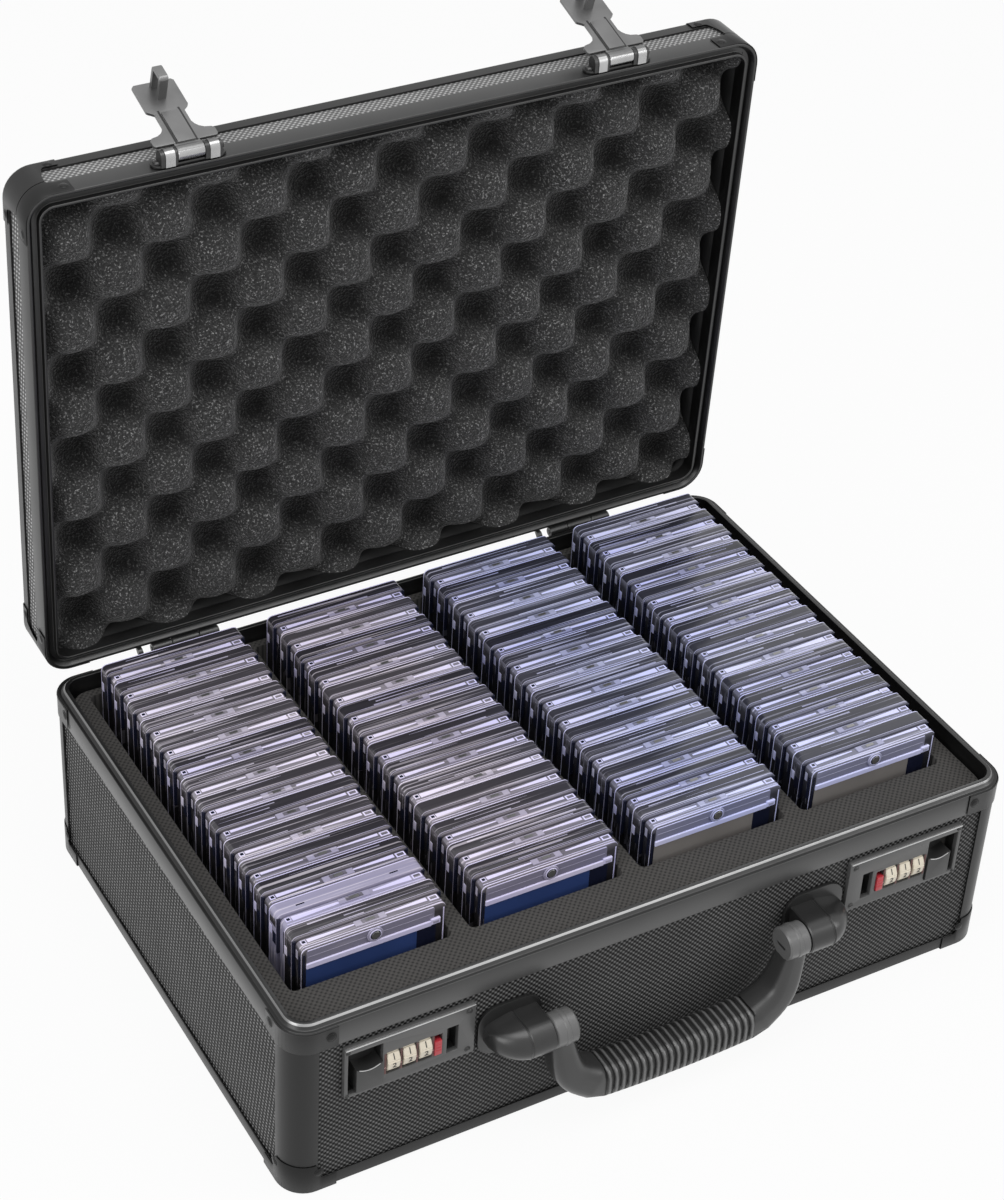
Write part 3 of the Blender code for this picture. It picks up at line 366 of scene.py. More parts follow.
def easeEdges(bm, width, segments=2, angle=35):
    bmesh.ops.remove_doubles(bm, verts=bm.verts, dist=1e-6)
    bmesh.ops.recalc_face_normals(bm, faces=bm.faces)
    limit = math.radians(angle)
    sharp = [edge for edge in bm.edges if len(edge.link_faces) == 2 and edge.calc_face_angle() > limit]
    bmesh.ops.bevel(bm, geom=sharp, offset=width, segments=segments, profile=0.7, affect="EDGES",
                    clamp_overlap=True)
    return bm


def plateWithHoles(bm, outer, holes, low, high, ease, place, kind=0):
    # a plate through which the holes go, eased round every edge of its high side
    levels = [(low, 0), (high, 0)]
    if ease:
        levels = [(low, 0), (high - ease, 0), (high - ease * 0.3, 0.3 * ease), (high, ease)]
    plans, walls = [], []
    for outline, sign in [(outer, -1)] + [(hole, 1) for hole in holes]:
        middle = Vector([sum(values) / len(outline) for values in zip(*outline)])
        halfA, halfB = (max(abs(value - centre) for value in values) for values,
                        centre in zip(zip(*outline), middle))
        rings = []
        for level, inset in levels:
            scaleA, scaleB = 1 + sign * inset / halfA, 1 + sign * inset / halfB
            rings.append([(middle.x + (a - middle.x) * scaleA, middle.y + (b - middle.y) * scaleB, level)
                          for a, b in outline])
        verts = [[bm.verts.new(place(*point)) for point in ring] for ring in rings]
        for one, other in zip(verts, verts[1:]):
            bridge(bm, one, other, kind)
        plans.append(rings)
        walls.append(verts)
    for end in (0, -1):
        loops = [[Vector((*point[:2], 0)) for point in rings[end]] for rings in plans]
        verts = [vert for rings in walls for vert in rings[end]]
        for triangle in geometry.tessellate_polygon(loops):
            bm.faces.new([verts[index] for index in triangle]).material_index = kind
    return bm


def cornerPoint(sideX, sideY, across, along):
    radius = case["corner"]
    x, y = sideX * (halfX - radius) + radius * across, sideY * (halfY - radius) + radius * along
    return x, y, across, along, 0


def ringStations():
    # x, y and outward normal round the closed case
    steps = case["cornerSteps"]
    made = []
    for quarter, side in enumerate(quarters):
        for index in range(steps + 1):
            angle = math.radians(90 * quarter + 90 * index / steps)
            made.append(cornerPoint(*side, math.cos(angle), math.sin(angle)))
    return made


def cornerStations(sideX, sideY, reachX, reachY, extra=()):
    # stations round one corner; the last value is how far each lies along its face
    steps = case["cornerSteps"]
    made = [(sideX * (halfX - reach), sideY * halfY, 0, sideY, reach) for reach in sorted({reachX, *extra},
                                                                                          reverse=True)
            if case["corner"] < reach <= reachX]
    for index in range(steps + 1):
        angle = math.radians(90 * index / steps)
        made.append(cornerPoint(sideX, sideY, sideX * math.sin(angle), sideY * math.cos(angle)))
    made += [(sideX * halfX, sideY * (halfY - reach), sideX, 0, reach) for reach in sorted({reachY, *extra})
             if case["corner"] < reach <= reachY]
    return made


def sweep(bm, stations, profile, closed, kind=0):
    rings = []
    for station in stations:
        x, y, across, along = station[:4]
        points = profile(station[4]) if callable(profile) else profile
        rings.append([(x - across * inset, y - along * inset, z) for inset, z in points])
    return loft(bm, rings, closed, kind)


def tint(bm, kind, test):
    # gives a finish to the faces that pass a test of their normal, middle and present finish
    bmesh.ops.recalc_face_normals(bm, faces=bm.faces)
    for face in bm.faces:
        if test(face.normal, face.calc_center_median(), face.material_index):
            face.material_index = kind


def addPiece(name, bm, finishes, body, node, turn=None, smooth=35):
    # the lid's pieces are made shut and turned open here
    turn = openLid if body == "lid" else turn
    if turn:
        bmesh.ops.transform(bm, matrix=turn, verts=bm.verts)
    bmesh.ops.recalc_face_normals(bm, faces=bm.faces)
    mesh = bpy.data.meshes.new(name)
    bm.to_mesh(mesh)
    bm.free()
    for finish in finishes.split():
        mesh.materials.append(looks[finish].material)
    mesh.shade_smooth()
    mesh.set_sharp_from_angle(angle=math.radians(smooth))
    made = addObject(name, mesh)
    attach(made, body)
    if node:
        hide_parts(node)
    return made


def repaint(node, finish):
    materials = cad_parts[node].data.materials
    materials.clear()
    materials.append(looks[finish].material)


# Finishes

textures = dict(
    # scales of cloud and grain, grain's detail, darkest and palest share,
    # what cloud and grain add to the roughness, what comes off it, relief
    moulded=(35, 2200, 2, 0.8, 1.25, 0.1, 0.06, 0.08, 0.5),
    plated=(60, 1800, 2, 0.75, 1.3, 0.12, 0.05, 0.06, 0.4),
    anodised=(26, 1400, 1, 0.8, 1.25, 0.12, 0.06, 0.08, 0.5),
)
grainDepth = 0.00003


def worked(made, way, level, rough, shade=(1, 1, 1)):
    # cloudy colour, and roughness and relief from a fine grain
    broad, tiny, detail, dark, pale, cloudy, grainy, less, relief = textures[way]
    cloud, fine = made.grain(broad, 3), made.grain(tiny, detail)
    made.set("rough", rough + cloud * cloudy + fine * grainy - less)
    made.bump(fine, grainDepth, relief)
    return made.blend(tone(level * dark, shade), tone(level * pale, shade), cloud)


def anodised(name, level, rough, metal=0.75, flankLight=0.0, ends=0.0, fading=0.0):
    # satin anodised extrusion: faint smudges, paler on sharp edges
    made = Finish(name, metal=metal)
    base = worked(made, "anodised", level, rough)
    edge = made.remap(made.node("NewGeometry", out="Pointiness"), 0.52, 0.62)
    if flankLight:
        # painted reflection: faces square to the case's sides take a paler tone, while the middles of the
        # rounded corners and the flat tops keep the darker one
        lookX, lookY = made.facing()[:2]
        base = made.blend(base, tone(flankLight), abs(abs(lookX) - abs(lookY)) ** 2.0 * 0.8)
    if ends:
        # painted shade: a darker tone on the case's ends, and toward the right of its front
        fade = made.remap(made.split(made.place())[0], 0.0, 0.19)
        base = made.blend(base, tone(ends), abs(made.facing()[0]).sum("MAXIMUM", fade * fading))
    return made.set("colour", made.blend(base, tone(level * 2.6), edge * 0.6))


def moulded(name, level, rough, shade=(1, 1, 1)):
    # satin moulded plastic with a very fine spark texture
    made = Finish(name, coat=0.15, coatRough=0.25)
    return made.set("colour", worked(made, "moulded", level, rough, shade))


def plated(name, level, rough):
    # plated steel
    made = Finish(name, metal=0.85)
    return made.set("colour", worked(made, "plated", level, rough))


def embossed(name, low, high):
    # thin sheet pressed all over with small raised studs: in diagonal rows, but level on the case's ends. The
    # stud tops are painted pale as highlights, paler still on the case's ends
    made = Finish(name, metal=0.10, shine=0.08)
    across, up, sideways = made.faceGrid()
    turn = 2 * math.pi / studs["pitch"]
    rows = [(across + up) * turn, (across - up) * turn]
    for index, (pitch, lean) in enumerate(studs["endPitches"]):
        level = across * (2 * math.pi / pitch) + up * (2 * math.pi / lean)
        rows[index] = rows[index] + sideways * (level - rows[index])
    stud = (rows[0].sum("COSINE") + rows[1].sum("COSINE")) * 0.25 + 0.5
    peak = stud ** (sideways * 1.6 + 2.4)
    cloud = made.grain(40, 3)
    # painted highlights: stud tops pale, paler still on the case's ends
    colour = made.blend(tone(low), made.blend(tone(high), tone(min(1, high * 1.6)), sideways), peak)
    made.set("colour", made.blend(colour, tone(low * 0.6), cloud * 0.35))
    made.set("rough", 0.50 - peak * 0.12 + cloud * 0.08)
    return made.bump(peak, studs["relief"])


def foamSheet(name, pitch):
    # closed-cell foam sheet with a fine grid of pressed pits, painted dark as shade
    made = Finish(name, shine=0.25)
    x, y, z = made.split(made.place())
    turn = 2 * math.pi / pitch
    dimple = (((x + y) * turn).sum("COSINE") + ((x - y) * turn).sum("COSINE")) * 0.25 + 0.5
    pit = dimple**2.2
    cloud = made.grain(30, 4, 0.6)
    speck = made.grain(900, 2)
    colour = made.blend(tone(0.052, (1.04, 1, 0.96)), tone(0.074, (1.05, 1, 0.95)), cloud * 0.6 + speck * 0.4)
    # painted shade: the pits darkened almost to black
    made.set("colour", made.blend(colour, tone(0.010), pit * 0.92))
    made.set("rough", 0.78 + cloud * 0.15)
    return made.bump(speck * 0.25 - pit, 0.0004, 0.7)


def cellFoam(name, level, low, high):
    # open-cell foam: countless cells, fine bright specks painted as glints where cell walls catch light, and
    # painted shade that darkens its pits
    made = Finish(name, shine=0.12, sheen=0.2)
    cells = made.node("TexVoronoi", {}, {"Vector": made.place(), "Scale": 720.0, "Randomness": 1.0})
    grain = made.grain(900, 3, 0.7)
    cloud = made.grain(45, 3)
    x, y, z = made.split(made.place())
    angle = math.radians(case["lidAngle"])
    raised = made.remap(y * math.sin(angle) + z * math.cos(angle), low, high)
    speck = made.remap(grain, 0.56, 0.66)
    colour = made.blend(tone(level * 0.8, (1, 1, 1.02)), tone(level * 1.3), cloud)
    colour = made.blend(colour, tone(level * 0.2), cells * 0.85)
    # painted glints: bright specks
    colour = made.blend(colour, tone(level * 7.5), speck * 0.9)
    # painted shade: the deeper a place lies in the pits, the darker
    made.set("colour", made.blend(tone(level * 0.12), colour, raised * 0.85 + 0.15))
    made.set("rough", 0.86 + cloud * 0.1)
    return made.bump(grain + cells, 0.0009, 0.9)


def acrylic(name, low, high, paintedStreaks, sides=1.0):
    # clear acrylic painted opaque: a tint for each row, a random tone for each holder, long pale streaks that
    # are painted reflections, and on the end faces painted light near the top that darkens to painted shade
    # further down
    made = Finish(name, shine=0.5, coatRough=0.1)
    x, y, z = made.split(made.place())
    unit = (holders["rear"] - y) * (1 / holders["thick"])
    count = unit.sum("FLOOR") + (x * 10).sum("FLOOR") * 17
    some = made.node("TexWhiteNoise", {"noise_dimensions": "1D"}, {"W": count})
    drawn = made.node("VectorMath", {"operation": "MULTIPLY"}, {0: made.place(), 1: (9, 620, 60)})
    long = made.grain(1, 2, 0.5, drawn)
    body = made.blend(tone(low, (0.85, 0.88, 1.2)), tone(high), some * 0.55 + long * 0.45)
    # painted reflections: pale streaks on the tops
    top = made.blend(body, tone(0.85), made.remap(long, 0.56, 0.68) * paintedStreaks)
    depth = holders["top"] - z
    # painted light and shade on the end faces: pale near the top, darker further down, with fainter painted
    # streaks
    side = made.ramp(depth * 50, (0.0, tone(0.36)), (0.08, tone(0.15)), (0.28, tone(0.048)),
                     (0.9, tone(0.018)))
    side = made.blend(side, tone(0.45), (long > 0.62) * 0.2)
    colour = made.blend(side, top, (abs(made.facing()[2]) > 0.5) * sides + (1 - sides))
    rowTint = made.ramp(x * 2.5 + 0.5, (0.05, (1.0, 0.93, 1.06)), (0.40, (1.02, 0.93, 1.06)),
                        (0.62, (0.80, 0.84, 1.17)), (0.95, (0.90, 0.90, 1.13)))
    made.set("colour", made.blend(colour, rowTint, 1.0, "MULTIPLY"))
    return made.set("rough", 0.12 + long * 0.15)


holders = dict(width=0.0770, thick=0.0165, count=14, rear=0.1285, top=0.1177, backHalf=0.0086, step=0.0012,
               round=0.0030, ease=0.0005, lip=0.0004, lipProud=0.00008, housing=0.0080, magnetDrop=0.0048,
               wander=7)
studs = dict(pitch=0.00297, endPitches=((0.00295, 0.0153), (0.0170, 0.00243)), relief=0.00025)
lidDeep = (openLid @ Vector((0, 0, case["ceiling"]))).dot(openLid.to_3x3() @ Vector((0, 0, 1)))
palette = {
    # the lid wall's studded sheet is painted lighter than the panels', as light from above
    embossed: dict(studdedPanel=(0.008, 0.260), studdedWall=(0.110, 0.620)),
    foamSheet: dict(insertFoam=(0.0030,)),
    cellFoam: dict(crateFoam=(0.042, lidDeep - 0.0060, lidDeep - 0.0190)),
    moulded: dict(
        blackPlastic=(0.024, 0.36), bossPlastic=(0.014, 0.30), hubPlastic=(0.110, 0.32),
        # the hubs' pale plastic is the black plastic painted lighter, as highlights on hubs and rib crests
        lockPlastic=(0.070, 0.38),
        # the near-black finish paints shade in grooves, slots and recesses
        deepBlack=(0.006, 0.6), liningCloth=(0.012, 0.8), darkRed=(0.040, 0.4, (2.2, 0.55, 0.45)),
        ivoryWheel=(0.66, 0.34, (1.08, 0.98, 0.80)), digitInk=(0.012, 0.5),
        redPlastic=(0.30, 0.34, (1.5, 0.10, 0.14)),
        # the dark navy of the holders' gaps, slots and edges: the plastic's tint with painted shade
        indexLine=(0.42, 0.5, (1.3, 0.75, 0.72)), navyGap=(0.016, 0.25, (0.60, 0.75, 1.9)),
        blankCard=(0.230, 0.35, (1.05, 0.98, 0.94)), darkCard=(0.100, 0.35, (0.32, 0.62, 2.0))),
    # the bright and strap steel also paint highlights on the hasps' loops and knuckles
    plated: dict(blackSteel=(0.060, 0.30), strapSteel=(0.190, 0.34), brightSteel=(0.42, 0.25),
                 litEdge=(0.58, 0.30),
                 magnetBrass=(0.30, 0.28)),
    anodised: dict(
        anodisedBlack=(0.018, 0.36, 0.75, 0.038), anodisedRim=(0.064, 0.33, 0.9, 0, 0.030),
        # the rim's finish painted darker, as shade on its flat ledge
        anodisedLedge=(0.030, 0.36),
        # the rim's finish painted pale, as a highlight on its sloping top
        polishedSlope=(0.480, 0.30, 0.9, 0, 0.110, 0.8), pressedBlack=(0.016, 0.34)),
    acrylic: dict(
        # the milky and the white finishes also paint reflections and light on the holders' tops and edges
        clearDeep=(0.012, 0.080, 0.45), clearPale=(0.060, 0.330, 0.75), clearMilk=(0.300, 0.560, 0.70, 0.0),
        clearEdge=(0.420, 0.800, 0.50, 0.0), whiteBar=(0.700, 0.960, 0.60, 0.0),
        facePane=(0.220, 0.330, 0.30, 0.0)),
}
looks = {name: make(name, *values) for make, rows in palette.items() for name, values in rows.items()}
print("finishes are made")

# Base frame

rims = dict(bottomLow=0.0011, bottomHigh=0.0080, skin=0.0009, leg=0.0080, sole=0.001, rimHeight=0.0130,
            ledge=0.0018, slope=0.0018, top=0.0020, rise=0.0026, web=0.0014, inner=0.0051, ease=0.00035)
skin, slopeEnd = rims["skin"], rims["ledge"] + rims["slope"]
topEnd = slopeEnd + rims["top"]


def baseFrame():
    low, high, sole = rims["bottomLow"], rims["bottomHigh"], rims["bottomLow"] + rims["sole"]
    profile = [(0, low), (0, high), (skin, high), (skin, sole), (rims["leg"], sole), (rims["leg"], low)]
    bm = sweep(bmesh.new(), ringStations(), filleted(profile, rims["ease"]), True)
    addPiece("bottomFrame", bm, "anodisedBlack", "base", "base_bottom_frame")
    low, crest, web = baseTop - rims["rimHeight"], baseTop + rims["rise"], baseTop - rims["web"]
    profile = [
        (0, low), (0, baseTop), (rims["ledge"], baseTop),
        (rims["ledge"] + rims["slope"] * 0.6, baseTop + rims["rise"] * 0.6), (slopeEnd, crest),
        (topEnd, crest),
        (topEnd, baseTop), (topEnd, low), (rims["inner"], low), (rims["inner"], web), (skin, web),
        (skin, low),
    ]
    bm = sweep(bmesh.new(), ringStations(), filleted(profile, rims["ease"]), True)
    # painted highlight: the sloping faces of the rim's top take a much paler copy of its finish
    tint(bm, 1, lambda look, spot,
         kind: 0.3 < abs(look.z) < 0.97 and baseTop + 0.0017 < spot.z < crest - hair)
    # painted shade: the flat ledge at the foot of the sloping top takes a darker copy of the rim's finish
    tint(bm, 2, lambda look, spot, kind: abs(look.z) > 0.9 and baseTop - hair < spot.z < baseTop + thread)
    addPiece("rimFrame", bm, "anodisedRim polishedSlope anodisedLedge", "base", "base_rim_frame")


posts = dict(legFront=0.0146, legSide=0.0154, core=0.0048, steps=12)


def cornerPosts():
    radius, front, side, steps = case["corner"], posts["legFront"], posts["legSide"], posts["steps"]
    outer = arc(radius, radius, radius, 270, 180, steps)
    inner = arc(radius, radius, radius - posts["core"], 180, 270, steps)
    points = [(front, 0)] + outer + [(0, side), (skin, side), (skin, radius)] + inner + [(radius, skin),
                                                                                         (front, skin)]
    for name, (sideX, sideY) in cornerNames.items():
        placed = [(sideX * (halfX - a), sideY * (halfY - b)) for a, b in points]
        bm = prism(bmesh.new(), placed, rims["bottomHigh"] + gap, baseTop - rims["rimHeight"] - gap)
        addPiece("post_" + name, bm, "anodisedBlack", "base", "base_post_" + name)


guards = dict(reachFront=0.0243, reachSide=0.0264, earReach=0.0146, earHeight=0.0175, bandHeight=0.0080,
              flange=0.0060, earRound=0.0030, rivetUp=0.0128, rivetAlong=0.0150, rivet=0.0019,
              rimReach=0.0241, rimRivet=0.0021, rimRivetAlong=0.0205, rimRivetDown=0.0060, points=18)


def earHeight(reach, earReach, low, high):
    soft = guards["earRound"]
    share = min(1, max(0, (reach - earReach + soft) / (2 * soft)))
    return high + (low - high) * (1 - math.cos(math.pi * share)) / 2


def earStations(earReach):
    return [earReach + guards["earRound"] * share for share in (-1, -0.6, -0.2, 0.2, 0.6, 1)]


def rivet(bm, x, y, z, normal, radius, kind=0, proud=0.0005):
    # a domed head with a ring pressed round it
    steps = ((1.25, -hair), (1.25, 0.00012), (1.05, 0.00018), (1.0, hair), (0.92, proud * 0.55),
             (0.7, proud * 0.85),
             (0.35, proud), (0.05, proud))
    out = Vector(normal)
    right = Vector((0, 0, 1)).cross(out).normalized()
    up = out.cross(right)
    rings = []
    for size, level in steps:
        angles = [2 * math.pi * index / guards["points"] for index in range(guards["points"])]
        ways = [right * math.cos(angle) + up * math.sin(angle) for angle in angles]
        rings.append([Vector((x, y, z)) + way * radius * size + out * level for way in ways])
    return loft(bm, rings, kind=kind)


def cornerRivets(bm, sideX, sideY, along, z, radius):
    # one on each of a pressed corner's two faces
    rivet(bm, sideX * (halfX - along), sideY * (halfY - skinOut), z, (0, sideY, 0), radius)
    rivet(bm, sideX * (halfX - skinOut), sideY * (halfY - along), z, (sideX, 0, 0), radius)


def guardProfile(reach):
    high = earHeight(reach, guards["earReach"], guards["bandHeight"], guards["earHeight"])
    return [
        (-gap, high), (-gap - sheet * 0.35, high + hair), (skinOut + hair, high - hair),
        (skinOut, high - 0.0004),
        (skinOut, 0.0007), (skinOut + 0.0003, thread), (skinOut + 0.0008, 0), (guards["flange"], 0),
        (guards["flange"], sheet), (-gap, sheet),
    ]


def baseGuards():
    low = baseTop - rims["rimHeight"]
    rimProfile = [
        (-gap, low), (skinOut + thread, low), (skinOut, low + 0.0003), (skinOut, baseTop - 0.0012),
        (skinOut - thread, baseTop - 0.0007), (skinOut + hair, baseTop - hair), (-gap, baseTop),
    ]
    for name, side in cornerNames.items():
        path = cornerStations(*side, guards["reachFront"], guards["reachSide"],
                              earStations(guards["earReach"]))
        bm = sweep(bmesh.new(), path, guardProfile, False)
        cornerRivets(bm, *side, guards["rivetAlong"], guards["rivetUp"], guards["rivet"])
        addPiece("guard_" + name, bm, "pressedBlack", "base", "base_cap_" + name)
        bm = sweep(bmesh.new(), cornerStations(*side, guards["rimReach"], guards["rimReach"]), rimProfile,
                   False)
        cornerRivets(bm, *side, guards["rimRivetAlong"], baseTop - guards["rimRivetDown"], guards["rimRivet"])
        addPiece("rimCorner_" + name, bm, "pressedBlack", "base", "base_rim_corner_" + name)


baseFrame()
cornerPosts()
baseGuards()
for node in ("floor", "panel_front", "panel_back", "panel_left", "panel_right"):
    repaint("base_" + node, "studdedPanel")
print("base frame stands")

# Foam insert with its four slots

insert = dict(reachX=0.1935, reachY=0.1345, corner=0.0107, top=0.0990, slotWidth=0.0840, rowShift=0.0035,
              slotPitch=0.0940, slotFront=-0.1075, slotRear=0.1293, slotCorner=0.0030, ease=0.0009, fill=1.0)


def foamInsert():
    middle = (insert["slotFront"] + insert["slotRear"]) / 2
    reach = (insert["slotRear"] - insert["slotFront"]) / 2
    holes = [roundedBox(insert["slotWidth"] / 2, reach, insert["slotCorner"], 3,
                        (row * insert["slotPitch"], middle))
             for row in (-1.5, -0.5, 0.5, 1.5)]
    outer = roundedBox(insert["reachX"], insert["reachY"], insert["corner"], 6)
    bm = plateWithHoles(bmesh.new(), outer, holes, case["floorTop"], insert["top"], insert["ease"],
                        axisPlace["Z"])
    addPiece("foamInsert", bm, "insertFoam", "base", "base_foam")


foamInsert()
print("foam insert is in")

# Clear card holders, back to back in each slot

holderParts = dict(
    # half width, near, far, lift, finish of what lies round the magnet's housing
    housing=((0.0080, 0.0099, 0.0134, 0.0005, 2), (0.0044, 0.0104, 0.0128, 0.0007, 1),
             (0.0022, 0.0108, 0.0124, 0.0009, 5)),
    # from and to, counted in from the nearer end, then near, far, lift, finish
    windows=((-0.0066, -0.0018, 0.0100, 0.0130, 0.00016, 3), (-0.0059, -0.0025, 0.0106, 0.0124, 0.00022, 1),
             (0.0018, 0.0044, 0.0102, 0.0128, 0.00014, 3), (0.0023, 0.0040, 0.0107, 0.0123, 0.00020, 4)),
    # where each long reflection on the back half lies, and how often it is there
    reflections=((0.0022, 0.8), (0.0046, 0.45), (0.0068, 0.7)),
    # whether on the step, near, far, low, high, lift, finish of what shows at the row's ends
    side=((0, 0.0013, 0.0074, 0.0080, 0.0040, 0.00010, 0), (0, 0.0044, 0.0068, 0.0062, 0.0030, 0.00016, 1),
          (0, 0.0012, 0.0034, 0.0150, 0.0098, 0.00020, 3), (0, 0.0040, 0.0078, 0.0190, 0.0118, 0.00008, 4),
          (0, 0.0082, 0.0092, 0.0230, 0.0016, 0.00012, 4), (1, 0.0102, 0.0122, 0.0100, 0.0050, 0.00012, 2),
          (1, 0.0128, 0.0150, 0.0200, 0.0060, 0.00008, 4)),
    # from and to as above, under, over, proud, finish, ease of the front: recess, ledge, clip, card and edges
    front=((0.0022, -0.0060, 0.0086, 0.0014, 0.00010, 7, 0.0001),
           (0.0030, -0.0070, 0.0052, 0.0048, 0.00018, 2, 0.0001),
           (0.0026, -0.0066, 0.0014, 0.0008, 0.00022, 3, 0.0001),
           (0.0020, -0.0076, 0.0120, 0.0088, 0.0008, 3, 0.0003),
           (-0.0080, -0.0030, 0.0112, 0.0078, 0.0011, 3, 0.0003),
           (-0.0070, -0.0040, 0.0104, 0.0088, 0.0013, 2, 0.0002),
           (0.0020, -0.0150, 0.0240, 0.0122, 0.00014, 6, 0.0001),
           (-0.0150, -0.0050, 0.0240, 0.0122, 0.00016, 4, 0.0001),
           (0.0004, 0.0014, 0.0240, 0.0030, 0.00020, 4, 0.0001),
           (-0.0014, -0.0008, 0.0240, 0.0030, 0.00020, 3, 0.0001)),
    # radius, proud, points, ease, finish of the magnet and its rings
    magnet=((0.0042, 0.0009, 24, 0.0003, 2), (0.0032, 0.0011, 24, 0.0002, 3), (0.0027, 0.0013, 24, 0.0002, 4),
            (0.0023, 0.0014, 20, 0.0002, 5)),
    # the thick holder's two slots: place, half width, near, far, deep
    slots=((-0.0250, 0.0240), 0.0022, 0.0052, 0.0060, 0.0010),
)
stepTop, stepEnd = holders["top"] - holders["step"], holders["width"] / 2 - holders["step"]


def fromEnd(place):
    # a place along a holder, given as how far in it is from its left end, or with a minus from its right one
    return place - stepEnd if place > 0 else place + stepEnd


def holderHalf(bm, x, back, front, inset, kind=0, ease=None):
    # a slab across the row whose top corners are rounded
    half = holders["width"] / 2 - inset
    low, high, soft = case["floorTop"], holders["top"] - inset, holders["round"]
    outline = [(x - half, low), (x + half, low)]
    outline += arc(x + half - soft, high - soft, soft, 0, 90, 5) + arc(x - half + soft, high - soft, soft, 90,
                                                                       180, 5)
    part = prism(bmesh.new(), outline, front, back, "Y")
    if ease:
        easeEdges(part, ease)
    return join(bm, part, kind)


def wedge(bm, xs, ys, spread, low, high, kind):
    # a long bar whose two ends differ in width
    middle = sum(ys) / 2
    one, other = (ys[1] - ys[0]) / 2 * spread[0], (ys[1] - ys[0]) / 2 * spread[1]
    outline = [(xs[0], middle - one), (xs[1], middle - other), (xs[1], middle + other), (xs[0], middle + one)]
    return prism(bm, outline, low, high, "Z", kind)


def holderTop(bm, x, rear, wander):
    # what lies in and on the front half's top: pale tapering bars either side of the magnet's housing,
    # painted reflections, and a window at each end

    def flat(low, high, near, far, lift, kind, spread=(1, 1)):
        wedge(bm, (x + low, x + high), (rear - far, rear - near), spread, stepTop - 0.0008, stepTop + lift,
              kind)

    reach = holders["housing"]
    stretch = wander.uniform(-0.003, 0.003)
    strong = wander.uniform(0.6, 1.25)
    # painted reflections: pale bars that taper toward the housing, their width and reach drawn at random
    flat(fromEnd(0.0050), -reach + stretch, 0.0102, 0.0102 + 0.0026 * strong, 0.00012, 3, (1, 0.35))
    flat(reach + stretch, fromEnd(-0.0075), 0.0100, 0.0100 + 0.0026 * strong, 0.00012, 3, (0.35, 1))
    for half, *values in holderParts["housing"]:
        flat(-half, half, *values)
    for low, high, *values in holderParts["windows"]:
        flat(fromEnd(low), fromEnd(high), *values)
    low, high = fromEnd(0.0014), fromEnd(-0.0014)
    flat(low, high, 0.0143, 0.0146, 0.00014, 3, (1, wander.uniform(0.3, 1)))
    flat(low, high, 0.0150, 0.0156, 0.00010, 2 if strong > 0.9 else 1)


def holderBack(bm, x, rear, wander):
    # long reflections on the back half's top
    top = holders["top"]
    end = holders["width"] / 2
    for near, chance in holderParts["reflections"]:
        if wander.random() < chance:
            low = x - end + wander.uniform(0.003, 0.030)
            high = min(x + end - 0.004, low + wander.uniform(0.022, 0.055))
            spread = (0.1, 1) if wander.random() < 0.5 else (1, 0.1)
            size = wander.uniform(0.0004, 0.0010)
            wedge(bm, (low, high), (rear - near - size, rear - near), spread, top - 0.0005, top + 0.00006, 2)


def holderSide(bm, x, rear, side):
    # windows, a tab and the gap between the halves, at the row's ends; the gap and the other navy patches are
    # painted shade in the plastic's tint
    top = holders["top"]
    for stepped, near, far, low, high, lift, kind in holderParts["side"]:
        face = x + side * (holders["width"] / 2 - stepped * holders["step"])
        ends = sorted((face - side * 0.0016, face + side * lift))
        box(bm, (ends[0], rear - far, top - low), (ends[1], rear - near, top - high), hair, kind, 1)


def holderFace(bm, x, face):
    # the front of a row: a recess, the magnet in its ring, a pale ledge with a clip, and the blank card below
    # the navy strips beside the card are painted shade
    for low, high, under, over, proud, kind, ease in holderParts["front"]:
        box(bm, (x + fromEnd(low), face - proud, stepTop - under),
            (x + fromEnd(high), face + 0.0004, stepTop - over),
            ease, kind, 1)
    for radius, proud, points, ease, kind in holderParts["magnet"]:
        disc(bm, radius, face - proud, face, (x, stepTop - holders["magnetDrop"]), "Y", points, ease, kind)


def oneHolder(bm, x, rear, wander, pale=False):
    seam, front = rear - holders["backHalf"], rear - holders["thick"]
    lip, step, ease = holders["lip"], holders["step"], holders["ease"]
    holderHalf(bm, x, rear - hair, seam, 0, 2 if pale else 0, ease)
    # the seam between the halves: a sunk slab in dark navy, the plastic's tint with painted shade
    holderHalf(bm, x, seam + thread, seam - 0.0008, step + 0.0014, 4)
    holderHalf(bm, x, seam - 0.0008, front + hair, step, 2 if pale else 1, ease)
    # thin pale lips at the rear, the seam and the front: painted light on the plastic's edges
    for place, inset, kind in ((rear - 0.0004, 0, 3), (seam + 0.0008, 0, 2), (front + 0.0009, step, 3)):
        holderHalf(bm, x, place, place - lip, inset - holders["lipProud"], kind)
    holderTop(bm, x, rear, wander)
    if not pale:
        holderBack(bm, x, rear, wander)
    for side in sides.values():
        holderSide(bm, x, rear, side)


